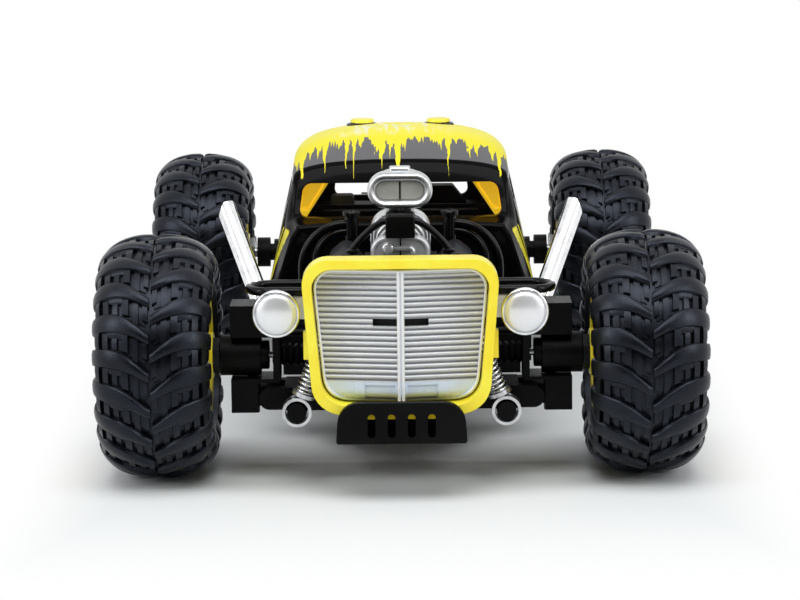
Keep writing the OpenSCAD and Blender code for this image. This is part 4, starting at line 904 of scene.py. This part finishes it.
# Corners of a gusset in the cab's upper front corner, side offset and height, with their rounding
GUSSET = ([(44.4, 56), (29.2, 56), (30.8, 51.2), (40.4, 36.6), (45.6, 36.6)], (1, 1, 1.5, 1, 1))
# A gusset's rows from its back: distance behind the front axle, and share of its outline
GUSSET_FACE = 118.5
GUSSET_ROWS = [(GUSSET_FACE + 2.5, 1), (GUSSET_FACE + 0.3, 1), (GUSSET_FACE, 0.96), (GUSSET_FACE, 0.74),
               (GUSSET_FACE + 0.7, 0.68), (GUSSET_FACE + 0.7, 0.6), (GUSSET_FACE, 0.54)]


def cage_gussets():
    """Yellow plates that stiffen the cab behind the screen, with a pressed groove along the free edge, and a
    painted glow that lifts them out of the cab's shade.
    """
    shape = Shape()
    outline = rounded_outline(*GUSSET)
    for side in SIDES.values():
        shape.grid([[nose(side * p.x, v, p.y) for p in shrunk(outline, k)] for v, k in GUSSET_ROWS])
    gussets = piece("cage_gussets", shape, [GLOWING_CAGE])
    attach(gussets, "chassis")


# Tube frame

# Hoops and posts beside the engine, then the loops at the sides of the nose
HOOP_X = 22.5
HOOP_V = 66
# Radius and height of the centre of each hoop
HOOPS = ((18, 23.2), (12, 26))
POST_X = 20
POST_R = 2.7
POST_TOP = 46.6
POST_ROWS = (20, 30, 40, POST_TOP - 1)
TUB_TOP = 9.5
NERF_V = (-31, -13.5)
NERF_TIP = 59
NERF_W = 30.0
# Side offsets where a nose loop starts and ends
NERF_ROOTS = (31, 26.1)
# Flange on a post: radius, and height from the post's top
FLANGE = [(POST_R, -2.2), (3.6, -1.9), (3.7, -0.5), (3.4, -0.1), (1.2, 0), (1.0, -0.6), (0.02, -0.6)]


def tube_frame():
    """Hoops and posts beside the engine, and the side loops at the nose."""
    shape = Shape()
    for side in SIDES.values():
        out = Vector((side, 0, 0))
        up = Vector((0, 0, 1))
        back = Vector((0, 1, 0))
        for radius, height in HOOPS:
            route = [nose(side * (HOOP_X + radius), HOOP_V, TUB_TOP)]
            route += arc(nose(side * HOOP_X, HOOP_V, height), out, up, radius, 0, 90, 12)
            route += [nose(side * POST_X, HOOP_V, height + radius)]
            shape.grid(tube_rows(route, TUBE_R))
        bend = (NERF_V[1] - NERF_V[0]) / 2
        centre = nose(side * (NERF_TIP - TUBE_R - bend), (NERF_V[0] + NERF_V[1]) / 2, NERF_W)
        route = [nose(side * NERF_ROOTS[0], NERF_V[0], NERF_W)]
        route += arc(centre, out, back, bend, -90, 90, 16)
        route += [nose(side * NERF_ROOTS[1], NERF_V[1], NERF_W)]
        shape.grid(tube_rows(route, TUBE_R))
        post = [nose(side * POST_X, HOOP_V, w) for w in POST_ROWS]
        shape.grid(tube_rows(post, POST_R, rounded=False))
        place = lambda along, y, z: nose(side * POST_X + y, HOOP_V + z, POST_TOP + along)
        shape.turned(FLANGE, place, 28)
    tubes = piece("roll_tubes", shape, [GLOSS])
    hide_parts("tube_frame")
    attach(tubes, "chassis")


# Headlights

LAMP_R = 9.0
LAMP_AT = (46.6, -31.5, 22.8)
# Glass: radius, distance of its edge from the lamp's back, and rise of its dome
GLASS_R = LAMP_R - 1.25
GLASS_EDGE = 7.1
GLASS_RISE = 2.3
GLASS_STEPS = 12


def headlights():
    """Two headlights: bucket, ring and domed glass."""
    r = LAMP_R
    bucket = [(0.02, 0), (r * 0.45, 0), (r * 0.6, 0.2), (r * 0.78, 1.6), (r * 0.9, 3.4), (r - 0.5, 4.4)]
    ring = [(r - 0.5, 4.4), (r - 0.1, 4.7), (r, 5.2), (r, 6.8), (r - 0.15, 7.3), (r - 0.5, 7.6),
            (r - 0.9, 7.6), (r - 1.1, 7.35), (GLASS_R, GLASS_EDGE)]
    glass = []
    for k in range(GLASS_STEPS + 1):
        a = math.radians(90 * k / GLASS_STEPS)
        glass.append((GLASS_R * max(math.cos(a), 0.002), GLASS_EDGE + GLASS_RISE * math.sin(a)))
    shape = Shape()
    for side in SIDES.values():
        x, v, w = LAMP_AT
        place = lambda along, y, z: nose(side * x + y, v - along, w + z)
        for number, profile in enumerate((bucket, ring, glass)):
            shape.turned(profile, place, finish=number)
    lamps = piece("lamp_buckets", shape, [SILVER, CHROME, PEARL], 50)
    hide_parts("headlights")
    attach(lamps, "chassis")


# Intake

SCOOP_MID = 59.5
SCOOP_V = (30, 54)
SCOOP_SIZE = (26, 14.4)
SCOOP_TAIL = (19, 12)
# Depth behind the mouth and total inset of the rolled lip
SCOOP_LIP = [(3.6, 7.4), (2.4, 7.2), (1.3, 6.4), (0.5, 5.0), (0.1, 3.6), (0, 2.8), (0.2, 1.7), (0.9, 0.7),
             (1.9, 0.1), (5, 0)]
# Middle of a flap, half the split between the flaps, and depths of the dark plate behind them
FLAP_X = 5
FLAP_SPLIT = 0.35
FLAP_BACK = (3.6, 5.2)
# A flap's rows: depth behind the mouth, and share of its outline
FLAP_ROWS = ((4.2, 1), (2.5, 1), (2.2, 0.95))
# Neck: half width, length, height and half the split in it
NECK_HALF = 5.8
NECK_V = (36, 48)
NECK_RISE = 7
NECK_SPLIT = 0.25
# Clip on the scoop's top: half width, length behind the mouth, and rows by height and share of its outline
CLIP_HALF = 4.2
CLIP_V = (8, 16)
CLIP_ROWS = ((-2, 1), (0.6, 1), (1, 0.93))
BLOWER_TOP = 48


def oval(v, w, wide, high, steps=16):
    """A stadium across the car: two half rounds joined."""
    r = high / 2
    reach = max((wide - high) / 2, 0)
    points = []
    for k in range(4 * steps):
        a = 2 * math.pi * (k + 0.5) / (4 * steps)
        c, s = math.cos(a), math.sin(a)
        points.append(nose(math.copysign(reach, c) + r * c, v, w + r * s))
    return points


def scoop_flaps(shape):
    """Two shut flaps inside the mouth with a dark split between them."""
    wide, high = (size - SCOOP_LIP[0][1] + 0.4 for size in SCOOP_SIZE)
    mouth = SCOOP_V[0]
    for side in SIDES.values():
        rim = [(p.x, p.z - FRONT_HUB.z) for p in oval(0, 0, wide, high) if p.x * side > 0]
        rim.sort(key=lambda spot: spot[1])
        rim += [(side * FLAP_SPLIT, rim[-1][1]), (side * FLAP_SPLIT, rim[0][1])]
        hub = side * FLAP_X
        face = lambda depth, share: [
            nose(hub + (x - hub) * share, mouth + depth, SCOOP_MID + w * share) for x, w in rim]
        shape.grid([face(*row) for row in FLAP_ROWS], finish=1)
    shape.grid([oval(mouth + v, SCOOP_MID, wide, high) for v in FLAP_BACK], finish=2)


def scoop_neck(shape):
    """The split neck under the scoop, with its dark joint line."""
    front, back = NECK_V
    heights = (BLOWER_TOP, BLOWER_TOP + NECK_RISE)
    upright = lambda x, w, v: nose(x, v, w)
    for side in SIDES.values():
        corners = rectangle(side * NECK_SPLIT, side * NECK_HALF, front, back)
        shape.bar(rounded_outline(corners, (0.2, 1.5, 1.5, 0.2), 4), heights, upright)
    shape.bar(rectangle(-1, 1, front + 0.4, back - 1), heights, upright, finish=2)


def intake_scoop():
    """The oval scoop with its rolled lip, flaps, neck and clip."""
    mouth, tail = SCOOP_V
    wide, high = SCOOP_SIZE
    shape = Shape()
    rows = [oval(mouth + v, SCOOP_MID, wide - inset, high - inset) for v, inset in SCOOP_LIP]
    start = mouth + SCOOP_LIP[-1][0]
    steps = 8
    for k in range(1, steps + 1):
        t = k / steps
        ease = t * t * (3 - 2 * t)
        rows.append(oval(start + (tail - 1 - start) * t, SCOOP_MID,
                         wide + (SCOOP_TAIL[0] - wide) * ease, high + (SCOOP_TAIL[1] - high) * ease))
    for v, inset in ((tail - 0.5, 0.4), (tail, 1.6)):
        rows.append(oval(v, SCOOP_MID, SCOOP_TAIL[0] - inset, SCOOP_TAIL[1] - inset))
    shape.grid(rows, caps=False)
    end = len(shape.points)
    shape.add(range(end - len(rows[-1]), end), 0)
    scoop_flaps(shape)
    scoop_neck(shape)
    near, far = (mouth + v for v in CLIP_V)
    plan = rounded_outline(rectangle(-CLIP_HALF, CLIP_HALF, near, far), (1, 1, 1, 1), 4)
    top = SCOOP_MID + high / 2
    shape.grid([[nose(p.x, p.y, top + w) for p in shrunk(plan, k)] for w, k in CLIP_ROWS])
    scoop = piece("air_scoop", shape, [SATIN, FLAP, SATIN_BLACK])
    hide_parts("intake_scoop")
    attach(scoop, "chassis")


# Grille

SLAT_W = (-2.2, 38.2)
SLAT_COUNT = 19
# A slat and the gap below it: share of the pitch, and depth behind the prow
SLAT = [(0, 1.15), (0.1, 1.2), (0.28, 1.1), (0.33, 0.75), (0.4, 0.4), (0.5, 0.16), (0.6, 0.03), (0.7, 0),
        (0.8, 0.05), (0.9, 0.2), (0.96, 0.5), (1, 1.15)]
# Field inside the lip: inset from the nose's outline, its top, and the depth of its vent
FIELD_INSET = 4.9
FIELD_TOP = 39.2
VENT_DEPTH = 3.0
# Apron below the slats: height from which it bends back, how gently, and the heights of its rows
APRON_BEND = -6.0
APRON_CURVE = 7
APRON_ROWS = (-9.5, -8.8, -8, -7, -6, -5, -3)
# Raised strips and sunk panels on the apron: side offsets, relief, and the panels' top
STRIP_X = (13.9, 17.5)
STRIP_RISE = 0.25
PANEL_X = (2.4, 13.5)
PANEL_SINK = 0.5
PANEL_W = -3.9
# The lip's section: inset from the nose's outline, and depth behind the prow
LIP = [(4.15, 4), (4.15, -0.3), (4.3, -0.65), (4.6, -0.8), (4.9, -0.75), (5.15, -0.5), (5.25, 0),
       (5.25, 1.6)]
# Height below which the lip sinks into the apron
LIP_FOOT = -7.6
# Heights of the double rib, and its section: side offset and depth behind the prow
RIB_W = (-9.6, 39.6)
RIB = [(-1.45, 0.6), (-1.3, -0.55), (-0.95, -0.9), (-0.5, -0.85), (-0.25, -0.4), (0.25, -0.4), (0.5, -0.85),
       (0.95, -0.9), (1.3, -0.55), (1.45, 0.6)]


def nose_outline(inset):
    """Outline of the nose moved inwards, with points on its middle line at the top and the foot."""
    top, foot = (half - inset for half in NOSE_HALF)
    high, low = NOSE_W[0] - inset, NOSE_W[1] + inset
    steps = 8
    round_top, round_foot = (bend - inset / 2 for bend in NOSE_ROUND)
    outline = rounded_outline([(top, high), (-top, high), (-foot, low), (foot, low)],
                              (round_top, round_top, round_foot, round_foot), steps)
    outline.insert(3 * (steps + 1), Vector((0, low)))
    outline.insert(steps + 1, Vector((0, high)))
    return outline


def half_at(outline, w):
    """Half width of an outline at a height."""
    reach = 0
    for a, b in zip(outline, outline[1:] + outline[:1]):
        if a.y != b.y and min(a.y, b.y) <= w <= max(a.y, b.y):
            reach = max(reach, a.x + (b.x - a.x) * (w - a.y) / (b.y - a.y))
    return reach


def prow(x, depth, w):
    """A point by its depth behind the grille's pointed front."""
    return nose(x, PROW_TIP + PROW_RISE * abs(x) + depth, w)


def grille_depth(x, w):
    """Depth of the grille's face behind the prow: slats, vent, and an apron with strips and panels."""
    if w < SLAT_W[0]:
        bend = max(APRON_BEND - w, 0) ** 2 / APRON_CURVE
        if STRIP_X[0] < abs(x) < STRIP_X[1]:
            return bend - STRIP_RISE
        return bend + (PANEL_SINK if PANEL_X[0] < abs(x) < PANEL_X[1] and w < PANEL_W else 0)
    if VENT_W[0] <= w <= VENT_W[1] and abs(x) <= VENT_HALF:
        return VENT_DEPTH
    if w > SLAT_W[1]:
        return 0.0
    share = (w - SLAT_W[0]) / (SLAT_W[1] - SLAT_W[0]) * SLAT_COUNT
    return line_at(SLAT, share - math.floor(share))


def grille():
    """The slatted grille with its lip, double rib and apron."""
    shape = Shape()
    edge = nose_outline(FIELD_INSET)
    step = 0.05
    low, high = SLAT_W
    pitch = (high - low) / SLAT_COUNT
    heights = [*APRON_ROWS, PANEL_W - step, PANEL_W + step, low - step, high + step, FIELD_TOP]
    for i in range(SLAT_COUNT):
        heights += [low + (i + min(share, 0.999)) * pitch for share, depth in SLAT]
    heights += [side + shift for side in VENT_W for shift in (-step, 0, step)]
    half = [0.6, VENT_HALF, VENT_HALF + step]
    half += [edge_x + shift for edge_x in (*PANEL_X, *STRIP_X) for shift in (-step, step)]
    half.sort()
    rows = []
    for w in sorted(set(heights)):
        wide = half_at(edge, w)
        across = [min(x, wide) for x in half] + [wide]
        spots = [-x for x in reversed(across)] + [0] + across
        rows.append([prow(x, grille_depth(x, w), w) for x in spots])
    shape.grid(rows, around=False, caps=False)
    rings = []
    for inset, depth in LIP:
        rings.append([prow(p.x, depth + max(LIP_FOOT - p.y, 0), p.y) for p in nose_outline(inset)])
    shape.grid(rings, caps=False)
    shape.grid([[prow(x, depth, w) for x, depth in RIB] for w in RIB_W])
    face = piece("grille_face", shape, [GRILLE], 50)
    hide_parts("grille")
    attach(face, "chassis")


# Slots of the skid bumper

SLOT_COUNT = 4
SLOT_PITCH = 7.5
SLOT_HALF = 1.4
SLOT_ROUND = 1.3
SLOT_W = (-21.9, -13.2)
# Height from which the yellow surround shows through a slot, and the faces of the slot's floor
SLOT_SILL = -15.0
SLOT_V = (-51.15, -51.02)


def bumper_slots():
    """Floors of the bumper's slots: black as painted shade, with the surround's yellow at the top in a
    darker copy that paints its shade.
    """
    shape = Shape()
    low, high = SLOT_W
    for i in range(SLOT_COUNT):
        x = (i - (SLOT_COUNT - 1) / 2) * SLOT_PITCH
        bend, corner = SLOT_ROUND, 0.1
        for foot, top, radii, finish in ((low, SLOT_SILL, (corner, corner, bend, bend), 0),
                                         (SLOT_SILL, high, (bend, bend, corner, corner), 1)):
            corners = rectangle(x + SLOT_HALF, x - SLOT_HALF, top, foot)
            shape.bar(rounded_outline(corners, radii, 5), SLOT_V, finish=finish)
    floors = piece("slot_floors", shape, [SLOT_SHADE, SHADED_YELLOW])
    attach(floors, "chassis")


# Blower

BLOWER_V = (34, 64)
BLOWER_HALF = 12.2
BLOCK_TOP = 28
BLOWER_ROUND = 8
BLOWER_RIBS = 7
# Inset of the foremost rib, and how much less the next ones have
TAPER = (3.6, 1.2)
# A rib's section: distance along the blower and inset
RIB_ROWS = [(0, 1.5), (0.02, 0.35), (0.3, 0.08), (0.8, 0), (1.9, 0), (2.4, 0.3), (2.7, 1.5)]
COVER = ([(12.4, 41.5), (-12.4, 41.5), (-11.4, 28), (11.4, 28)], (6, 6, 1, 1))
COVER_V = 28
# Depth behind the cover's face, and shrinking share of its outline
COVER_ROWS = [(6.5, 1), (1.2, 1), (0.5, 0.985), (0.1, 0.95), (0, 0.9), (0, 0.87), (0.5, 0.84), (0.5, 0.4)]
COVER_SPLIT = 0.25
# Lever on the cover: its reach to each side, height, rod and route, and the profile of its knob
LEVER_REACH = 5
LEVER_W = 37
LEVER_R = 0.9
LEVER_ROUTE = [(-LEVER_REACH, 0), (-1, 0), (LEVER_REACH - 1.2, 0), (LEVER_REACH - 0.3, -0.4),
               (LEVER_REACH, -1.2), (LEVER_REACH, -2.2)]
KNOB = [(0.02, -2.2), (1.7, -2.2), (2.1, -1.9), (2.2, -1.4), (2.2, 0.8)]


def blower_ring(v, inset):
    """Outline of the blower, drawn in by an inset."""
    half = BLOWER_HALF - inset
    high = BLOWER_TOP - inset
    bend = BLOWER_ROUND - inset / 2
    outline = rounded_outline(rectangle(half, -half, high, BLOCK_TOP), (bend, bend, 0.3, 0.3), 8)
    return [nose(p.x, v, p.y) for p in outline]


def blower_lever(shape):
    """The hooked lever on the blower's cover, with its knob."""
    place = lambda along, y, z: nose(y - LEVER_REACH, COVER_V + along, LEVER_W + z)
    shape.turned(KNOB, place, 28, finish=2)
    hook = [nose(x, COVER_V - 0.8, LEVER_W + rise) for x, rise in LEVER_ROUTE]
    shape.grid(tube_rows(hook, LEVER_R, 12), finish=2)


def blower():
    """The ribbed blower, smaller towards its front, with its split cover and lever."""
    shape = Shape()
    pitch = (BLOWER_V[1] - BLOWER_V[0] - RIB_ROWS[-1][0]) / (BLOWER_RIBS - 1)
    rows = []
    for i in range(BLOWER_RIBS):
        taper = max(TAPER[0] - TAPER[1] * i, 0)
        rows += [blower_ring(BLOWER_V[0] + i * pitch + v, taper + inset) for v, inset in RIB_ROWS]
    shape.grid(rows)
    outline = rounded_outline(*COVER)
    shape.grid([[nose(p.x, COVER_V + depth, p.y) for p in shrunk(outline, k)] for depth, k in COVER_ROWS],
               finish=3)
    split = rectangle(-COVER_SPLIT, COVER_SPLIT, BLOCK_TOP, COVER[0][0][1])
    shape.bar(split, (COVER_V - 0.1, COVER_V + 4), finish=1)
    blower_lever(shape)
    case = piece("blower_case", shape, [SATIN, SATIN_BLACK, PEARL, SILVER])
    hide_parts("blower")
    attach(case, "chassis")


# Blower drive

DRIVE_BOX = (rectangle(-5.8, 5.8, 42, 51), (0.8, 0.8, 1.2, 1.2))
DRIVE_V = (20, 34)
BRACE_R = 1.35
BRACE_V = 30.5
# Route of a brace, side offset and height, and the profile of its foot, radius and height
BRACE = [(4.5, 47.6), (7, 47.2), (9.6, 45.8), (12.2, 43.8), (14.8, 41.4), (17.2, 38.8), (18.8, 36.6),
         (19.2, 35.2)]
BRACE_FOOT = [(0.02, -0.8), (2.3, -0.8), (2.4, -0.4), (2.4, 0.8), (2.0, 1.1), (BRACE_R, 1.2)]


def blower_drive():
    """The belt box ahead of the blower and its two bent brace tubes."""
    shape = Shape()
    outline = rounded_outline(*DRIVE_BOX)
    hub = Vector((0, sum(w for x, w in DRIVE_BOX[0]) / 4))
    rows = []
    for v, shrink in ((DRIVE_V[0], 0.92), (DRIVE_V[0] + 0.5, 1), (DRIVE_V[1], 1)):
        spots = [hub + (p - hub) * shrink for p in outline]
        rows.append([nose(p.x, v, p.y) for p in spots])
    shape.grid(rows)
    for side in SIDES.values():
        shape.grid(tube_rows([nose(side * x, BRACE_V, w) for x, w in BRACE], BRACE_R))
        place = lambda along, y, z: nose(side * BRACE[-1][0] + y, BRACE_V + z, BRACE[-1][1] + along)
        shape.turned(BRACE_FOOT, place, 24)
    drive = piece("belt_box", shape, [SATIN_BLACK])
    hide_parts("blower_drive")
    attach(drive, "chassis")


# Boots and collars on the half shafts

BOOT_X = (34.0, 49.6)
BOOT_R = 4.4
BOOT_FOLDS = 6
# A fold's profile: share of its length, and how far it lies below the crest
BOOT_FOLD = ((0, 1.2), (0.3, 0.2), (0.5, 0), (0.7, 0.2))
SHAFT_R = 1.5
# Collar on the knuckle around the shaft: its ends, outer and inner radius
COLLAR_X = (51.4, 54.6)
COLLAR_R = (5.6, 4.4)


def shaft_boots():
    """Folded rubber boots around the half shafts."""
    fold = (BOOT_X[1] - BOOT_X[0]) / BOOT_FOLDS
    for word, side in SIDES.items():
        profile = [(SHAFT_R, BOOT_X[0] - 0.3)]
        for i in range(BOOT_FOLDS):
            profile += [(BOOT_R - sink, BOOT_X[0] + (i + share) * fold) for share, sink in BOOT_FOLD]
        profile += [(BOOT_R - BOOT_FOLD[0][1], BOOT_X[1]), (SHAFT_R, BOOT_X[1] + 0.3)]
        shape = Shape()
        shape.turned(profile, lambda along, y, z: nose(side * along, y, z), 32)
        boot = piece(f"shaft_boot_{word}", shape, [BLACK])
        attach(boot, f"half_shaft_{word}")


def shaft_collars():
    """Rubber collars on the steering knuckles, around the half shafts."""
    near, far = COLLAR_X
    outer, inner = COLLAR_R
    profile = [(inner, far), (inner, near + 0.4), (inner + 0.3, near), (outer - 0.3, near),
               (outer, near + 0.4), (outer, far), (inner, far)]
    for word, side in SIDES.items():
        shape = Shape()
        shape.turned(profile, lambda along, y, z: nose(side * along, y, z), 32)
        collar = piece(f"shaft_collar_{word}", shape, [BLACK])
        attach(collar, f"steering_knuckle_{word}")


# Shelf behind the seats

# Outlines across the car, with the rounding of their corners, and their lengths; a pad's finish comes last
SHELF = (rectangle(-38, 38, 20, 31.5), (2, 2, 3, 3))
SHELF_V = (192, 204)
PADS = ((rectangle(-32, -21.5, 30, 35.4), (1, 1, 1.6, 1.6), 1),
        ([(10, 30), (31, 30), (23.5, 39.6), (11, 39.6)], (1, 1, 1.5, 1.5), 0))
PAD_V = (193, 202)


def rear_shelf():
    """A dark shelf across the tail of the cab with two pads on it."""
    shape = Shape()
    shape.bar(rounded_outline(*SHELF), SHELF_V)
    for corners, radii, finish in PADS:
        shape.bar(rounded_outline(corners, radii), PAD_V, finish=finish)
    shelf = piece("rear_shelf", shape, [INTERIOR, OLIVE])
    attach(shelf, "chassis")


# Frame nodes that stay

def dress(finish, edge, *nodes):
    """Gives nodes of the frame a finish and softens their edges."""
    for node in nodes:
        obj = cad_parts[node]
        for slot in obj.material_slots:
            slot.material = finish
        weld = obj.modifiers.new("weld", "WELD")
        weld.merge_threshold = 1e-6
        flat = obj.modifiers.new("flat", "DECIMATE")
        flat.decimate_type = "DISSOLVE"
        flat.angle_limit = math.radians(0.4)
        soft = obj.modifiers.new("soft", "BEVEL")
        soft.width = edge * MM
        soft.segments = 2
        soft.limit_method = "ANGLE"
        soft.angle_limit = math.radians(38)
        normals = obj.modifiers.new("normals", "WEIGHTED_NORMAL")
        normals.keep_sharp = False


def both(*names):
    """Names of nodes that come as a left and a right one."""
    return [f"{name}_{word}" for name in names for word in SIDES]


def dress_frame():
    """A finish for every node that keeps its own shape."""
    dress(BLACK, 0.5, "chassis_tub", "front_gearbox", "rear_frame", "rear_swing_axle", "steering_servo")
    dress(BLACK, 0.5, "skid_bumper", *both("front_lower_arm", "front_upper_arm", "hub_carrier"))
    dress(BLACK, 0.4, *both("steering_knuckle", "tie_rod"), "steering_rack")
    dress(YELLOW, 1.7, "grille_surround")
    dress(YELLOW, 0.5, *both("front_rim", "rear_rim"))
    dress(BRACKET, 0.4, "headlight_bracket")
    dress(ENGINE, 0.8, "engine_block")
    dress(CHROME, 0.15, "exhaust_stacks")
    dress(SATIN, 0.15, *both("front_shock_rod"), "rear_shock_rods")
    dress(SATIN_BLACK, 0.3, *both("front_shock_body"), "rear_shock_bodies")
    dress(INTERIOR, 0.8, "interior_tray")
    dress(WRAP, 1.2, "battery_pack")
    dress(BOARD, 0.2, "control_board")
    dress(NYLON, 0.3, "servo_horn")
    dress(STEEL, 0.2, "motor", "drive_shaft", "front_spool", "rear_axle_shaft", "rear_prop_shaft")
    dress(STEEL, 0.2, *both("half_shaft"))
    dress(BRASS, 0.1, "motor_pinion")
    dress(BURNT, 0.15, "screws", *both("stub_axle"))


# Studio

AMBIENT = 0.24
# Floor in metres, and the distances from its middle over which it turns white, in millimetres
FLOOR_HALF = 6.0
FADE_ASIDE = (100, 150)
FADE_AHEAD = (170, 300)
# Dark sheet in metres: half width, place and heights
FLAG_HALF = 0.9
FLAG_Y = -1.6
FLAG_Z = (0.02, 1.2)


def studio_world():
    """White for the camera and reflections, and a dim fill for everything else."""
    world = bpy.data.worlds.new("studio")
    bpy.context.scene.world = world
    world.use_nodes = True
    wire = Wire(world.node_tree)
    rays = wire.node("LightPath", output="Is Camera Ray")
    seen = rays.most(rays.other("Is Glossy Ray")).most(rays.other("Is Transmission Ray"))
    strength = AMBIENT + (1 - AMBIENT) * seen
    backdrop = world.node_tree.nodes["Background"]
    backdrop.inputs["Color"].default_value = (1, 1, 1, 1)
    world.node_tree.links.new(strength.socket, backdrop.inputs["Strength"])


def staged(name, corners, material):
    """A plain sheet of the studio."""
    mesh = bpy.data.meshes.new(name)
    mesh.from_pydata(corners, [], [(0, 1, 2, 3)])
    mesh.materials.append(material)
    obj = bpy.data.objects.new(name, mesh)
    bpy.context.scene.collection.objects.link(obj)
    return obj


def floor():
    """A pale floor that keeps the shadow and turns white away from the object."""
    paint = Paint("floor_white", {"Roughness": 0.9, "Specular IOR Level": 0.0})
    x, v, _ = paint.axes()
    aside = abs(x).fade(*FADE_ASIDE)
    ahead = abs(v + FRONT_HUB.y).fade(*FADE_AHEAD)
    paint.feed(Base_Color=paint.noise(40, 2).tint((0.84, 0.87, 0.88, 1), (0.86, 0.89, 0.9, 1)))
    rays = paint.wire.node("LightPath", output="Is Camera Ray")
    share = aside.most(ahead) * rays.most(rays.other("Is Glossy Ray"))
    tree = paint.wire.tree
    glow = tree.nodes.new("ShaderNodeEmission")
    mix = tree.nodes.new("ShaderNodeMixShader")
    tree.links.new(share.socket, mix.inputs["Fac"])
    tree.links.new(paint.shader.outputs["BSDF"], mix.inputs[1])
    tree.links.new(glow.outputs["Emission"], mix.inputs[2])
    tree.links.new(mix.outputs["Shader"], tree.nodes["Material Output"].inputs["Surface"])
    h = FLOOR_HALF
    staged("floor", [(-h, -h, 0), (h, -h, 0), (h, h, 0), (-h, h, 0)], paint.material)


def flag():
    """A dark sheet behind the camera, seen only in reflections."""
    paint = Paint("flag_black", {"Roughness": 1.0, "Specular IOR Level": 0.0})
    paint.feed(Base_Color=paint.noise(60, 2).tint((0.015, 0.015, 0.016, 1), (0.02, 0.02, 0.021, 1)))
    h = FLAG_HALF
    low, high = FLAG_Z
    corners = [(-h, FLAG_Y, low), (h, FLAG_Y, low), (h, FLAG_Y, high), (-h, FLAG_Y, high)]
    sheet = staged("flag", corners, paint.material)
    sheet.visible_camera = False
    sheet.visible_diffuse = False
    sheet.visible_shadow = False


# Point that the soft boxes face, in metres
LIGHT_AIM = Vector((0, 0, 0.05))


def lamp(name, place, power, wide, high):
    """A soft box that faces the object."""
    light = bpy.data.lights.new(name, "AREA")
    light.shape = "RECTANGLE"
    light.size = wide
    light.size_y = high
    light.energy = power
    obj = bpy.data.objects.new(name, light)
    obj.location = place
    obj.rotation_euler = (LIGHT_AIM - Vector(place)).to_track_quat("-Z", "Y").to_euler()
    bpy.context.scene.collection.objects.link(obj)


# Camera in millimetres and radians, and its focal length in pixels of the picture
CAMERA_AT = Vector((3.81, -1202.24, 257.69))
CAMERA_PITCH = math.radians(9.9886)
CAMERA_YAW = math.radians(-0.2195)
CAMERA_ROLL = math.radians(-0.6412)
FOCUS_PX = 2812.94
PICTURE_W = 800
SENSOR = 36.0


def camera():
    """The camera that took the photograph, fitted to the four tyres."""
    lens = bpy.data.cameras.new("photo_camera")
    lens.sensor_width = SENSOR
    lens.lens = FOCUS_PX * SENSOR / PICTURE_W
    obj = bpy.data.objects.new("photo_camera", lens)
    ahead = Vector((math.sin(CAMERA_YAW) * math.cos(CAMERA_PITCH),
                    math.cos(CAMERA_YAW) * math.cos(CAMERA_PITCH), -math.sin(CAMERA_PITCH)))
    level = Vector((math.cos(CAMERA_YAW), -math.sin(CAMERA_YAW), 0))
    lift = level.cross(ahead)
    right = level * math.cos(CAMERA_ROLL) + lift * math.sin(CAMERA_ROLL)
    up = lift * math.cos(CAMERA_ROLL) - level * math.sin(CAMERA_ROLL)
    turn = Matrix((right, up, -ahead)).transposed().to_4x4()
    obj.matrix_world = Matrix.Translation(CAMERA_AT * MM) @ turn
    bpy.context.scene.collection.objects.link(obj)
    bpy.context.scene.camera = obj


bpy.context.scene.view_settings.view_transform = "Standard"
camera()
studio_world()
floor()
flag()
lamp("top_box", (0, -0.55, 1.05), power=8.5, wide=1.0, high=0.7)
for word, side in SIDES.items():
    lamp(f"{word}_box", (side * 0.95, -0.6, 0.6), power=3.6, wide=0.3, high=0.6)

dress_frame()
tyres()
springs()
cab()
roof_pods()
cage_gussets()
tube_frame()
headlights()
intake_scoop()
grille()
bumper_slots()
blower()
blower_drive()
shaft_boots()
shaft_collars()
rear_shelf()
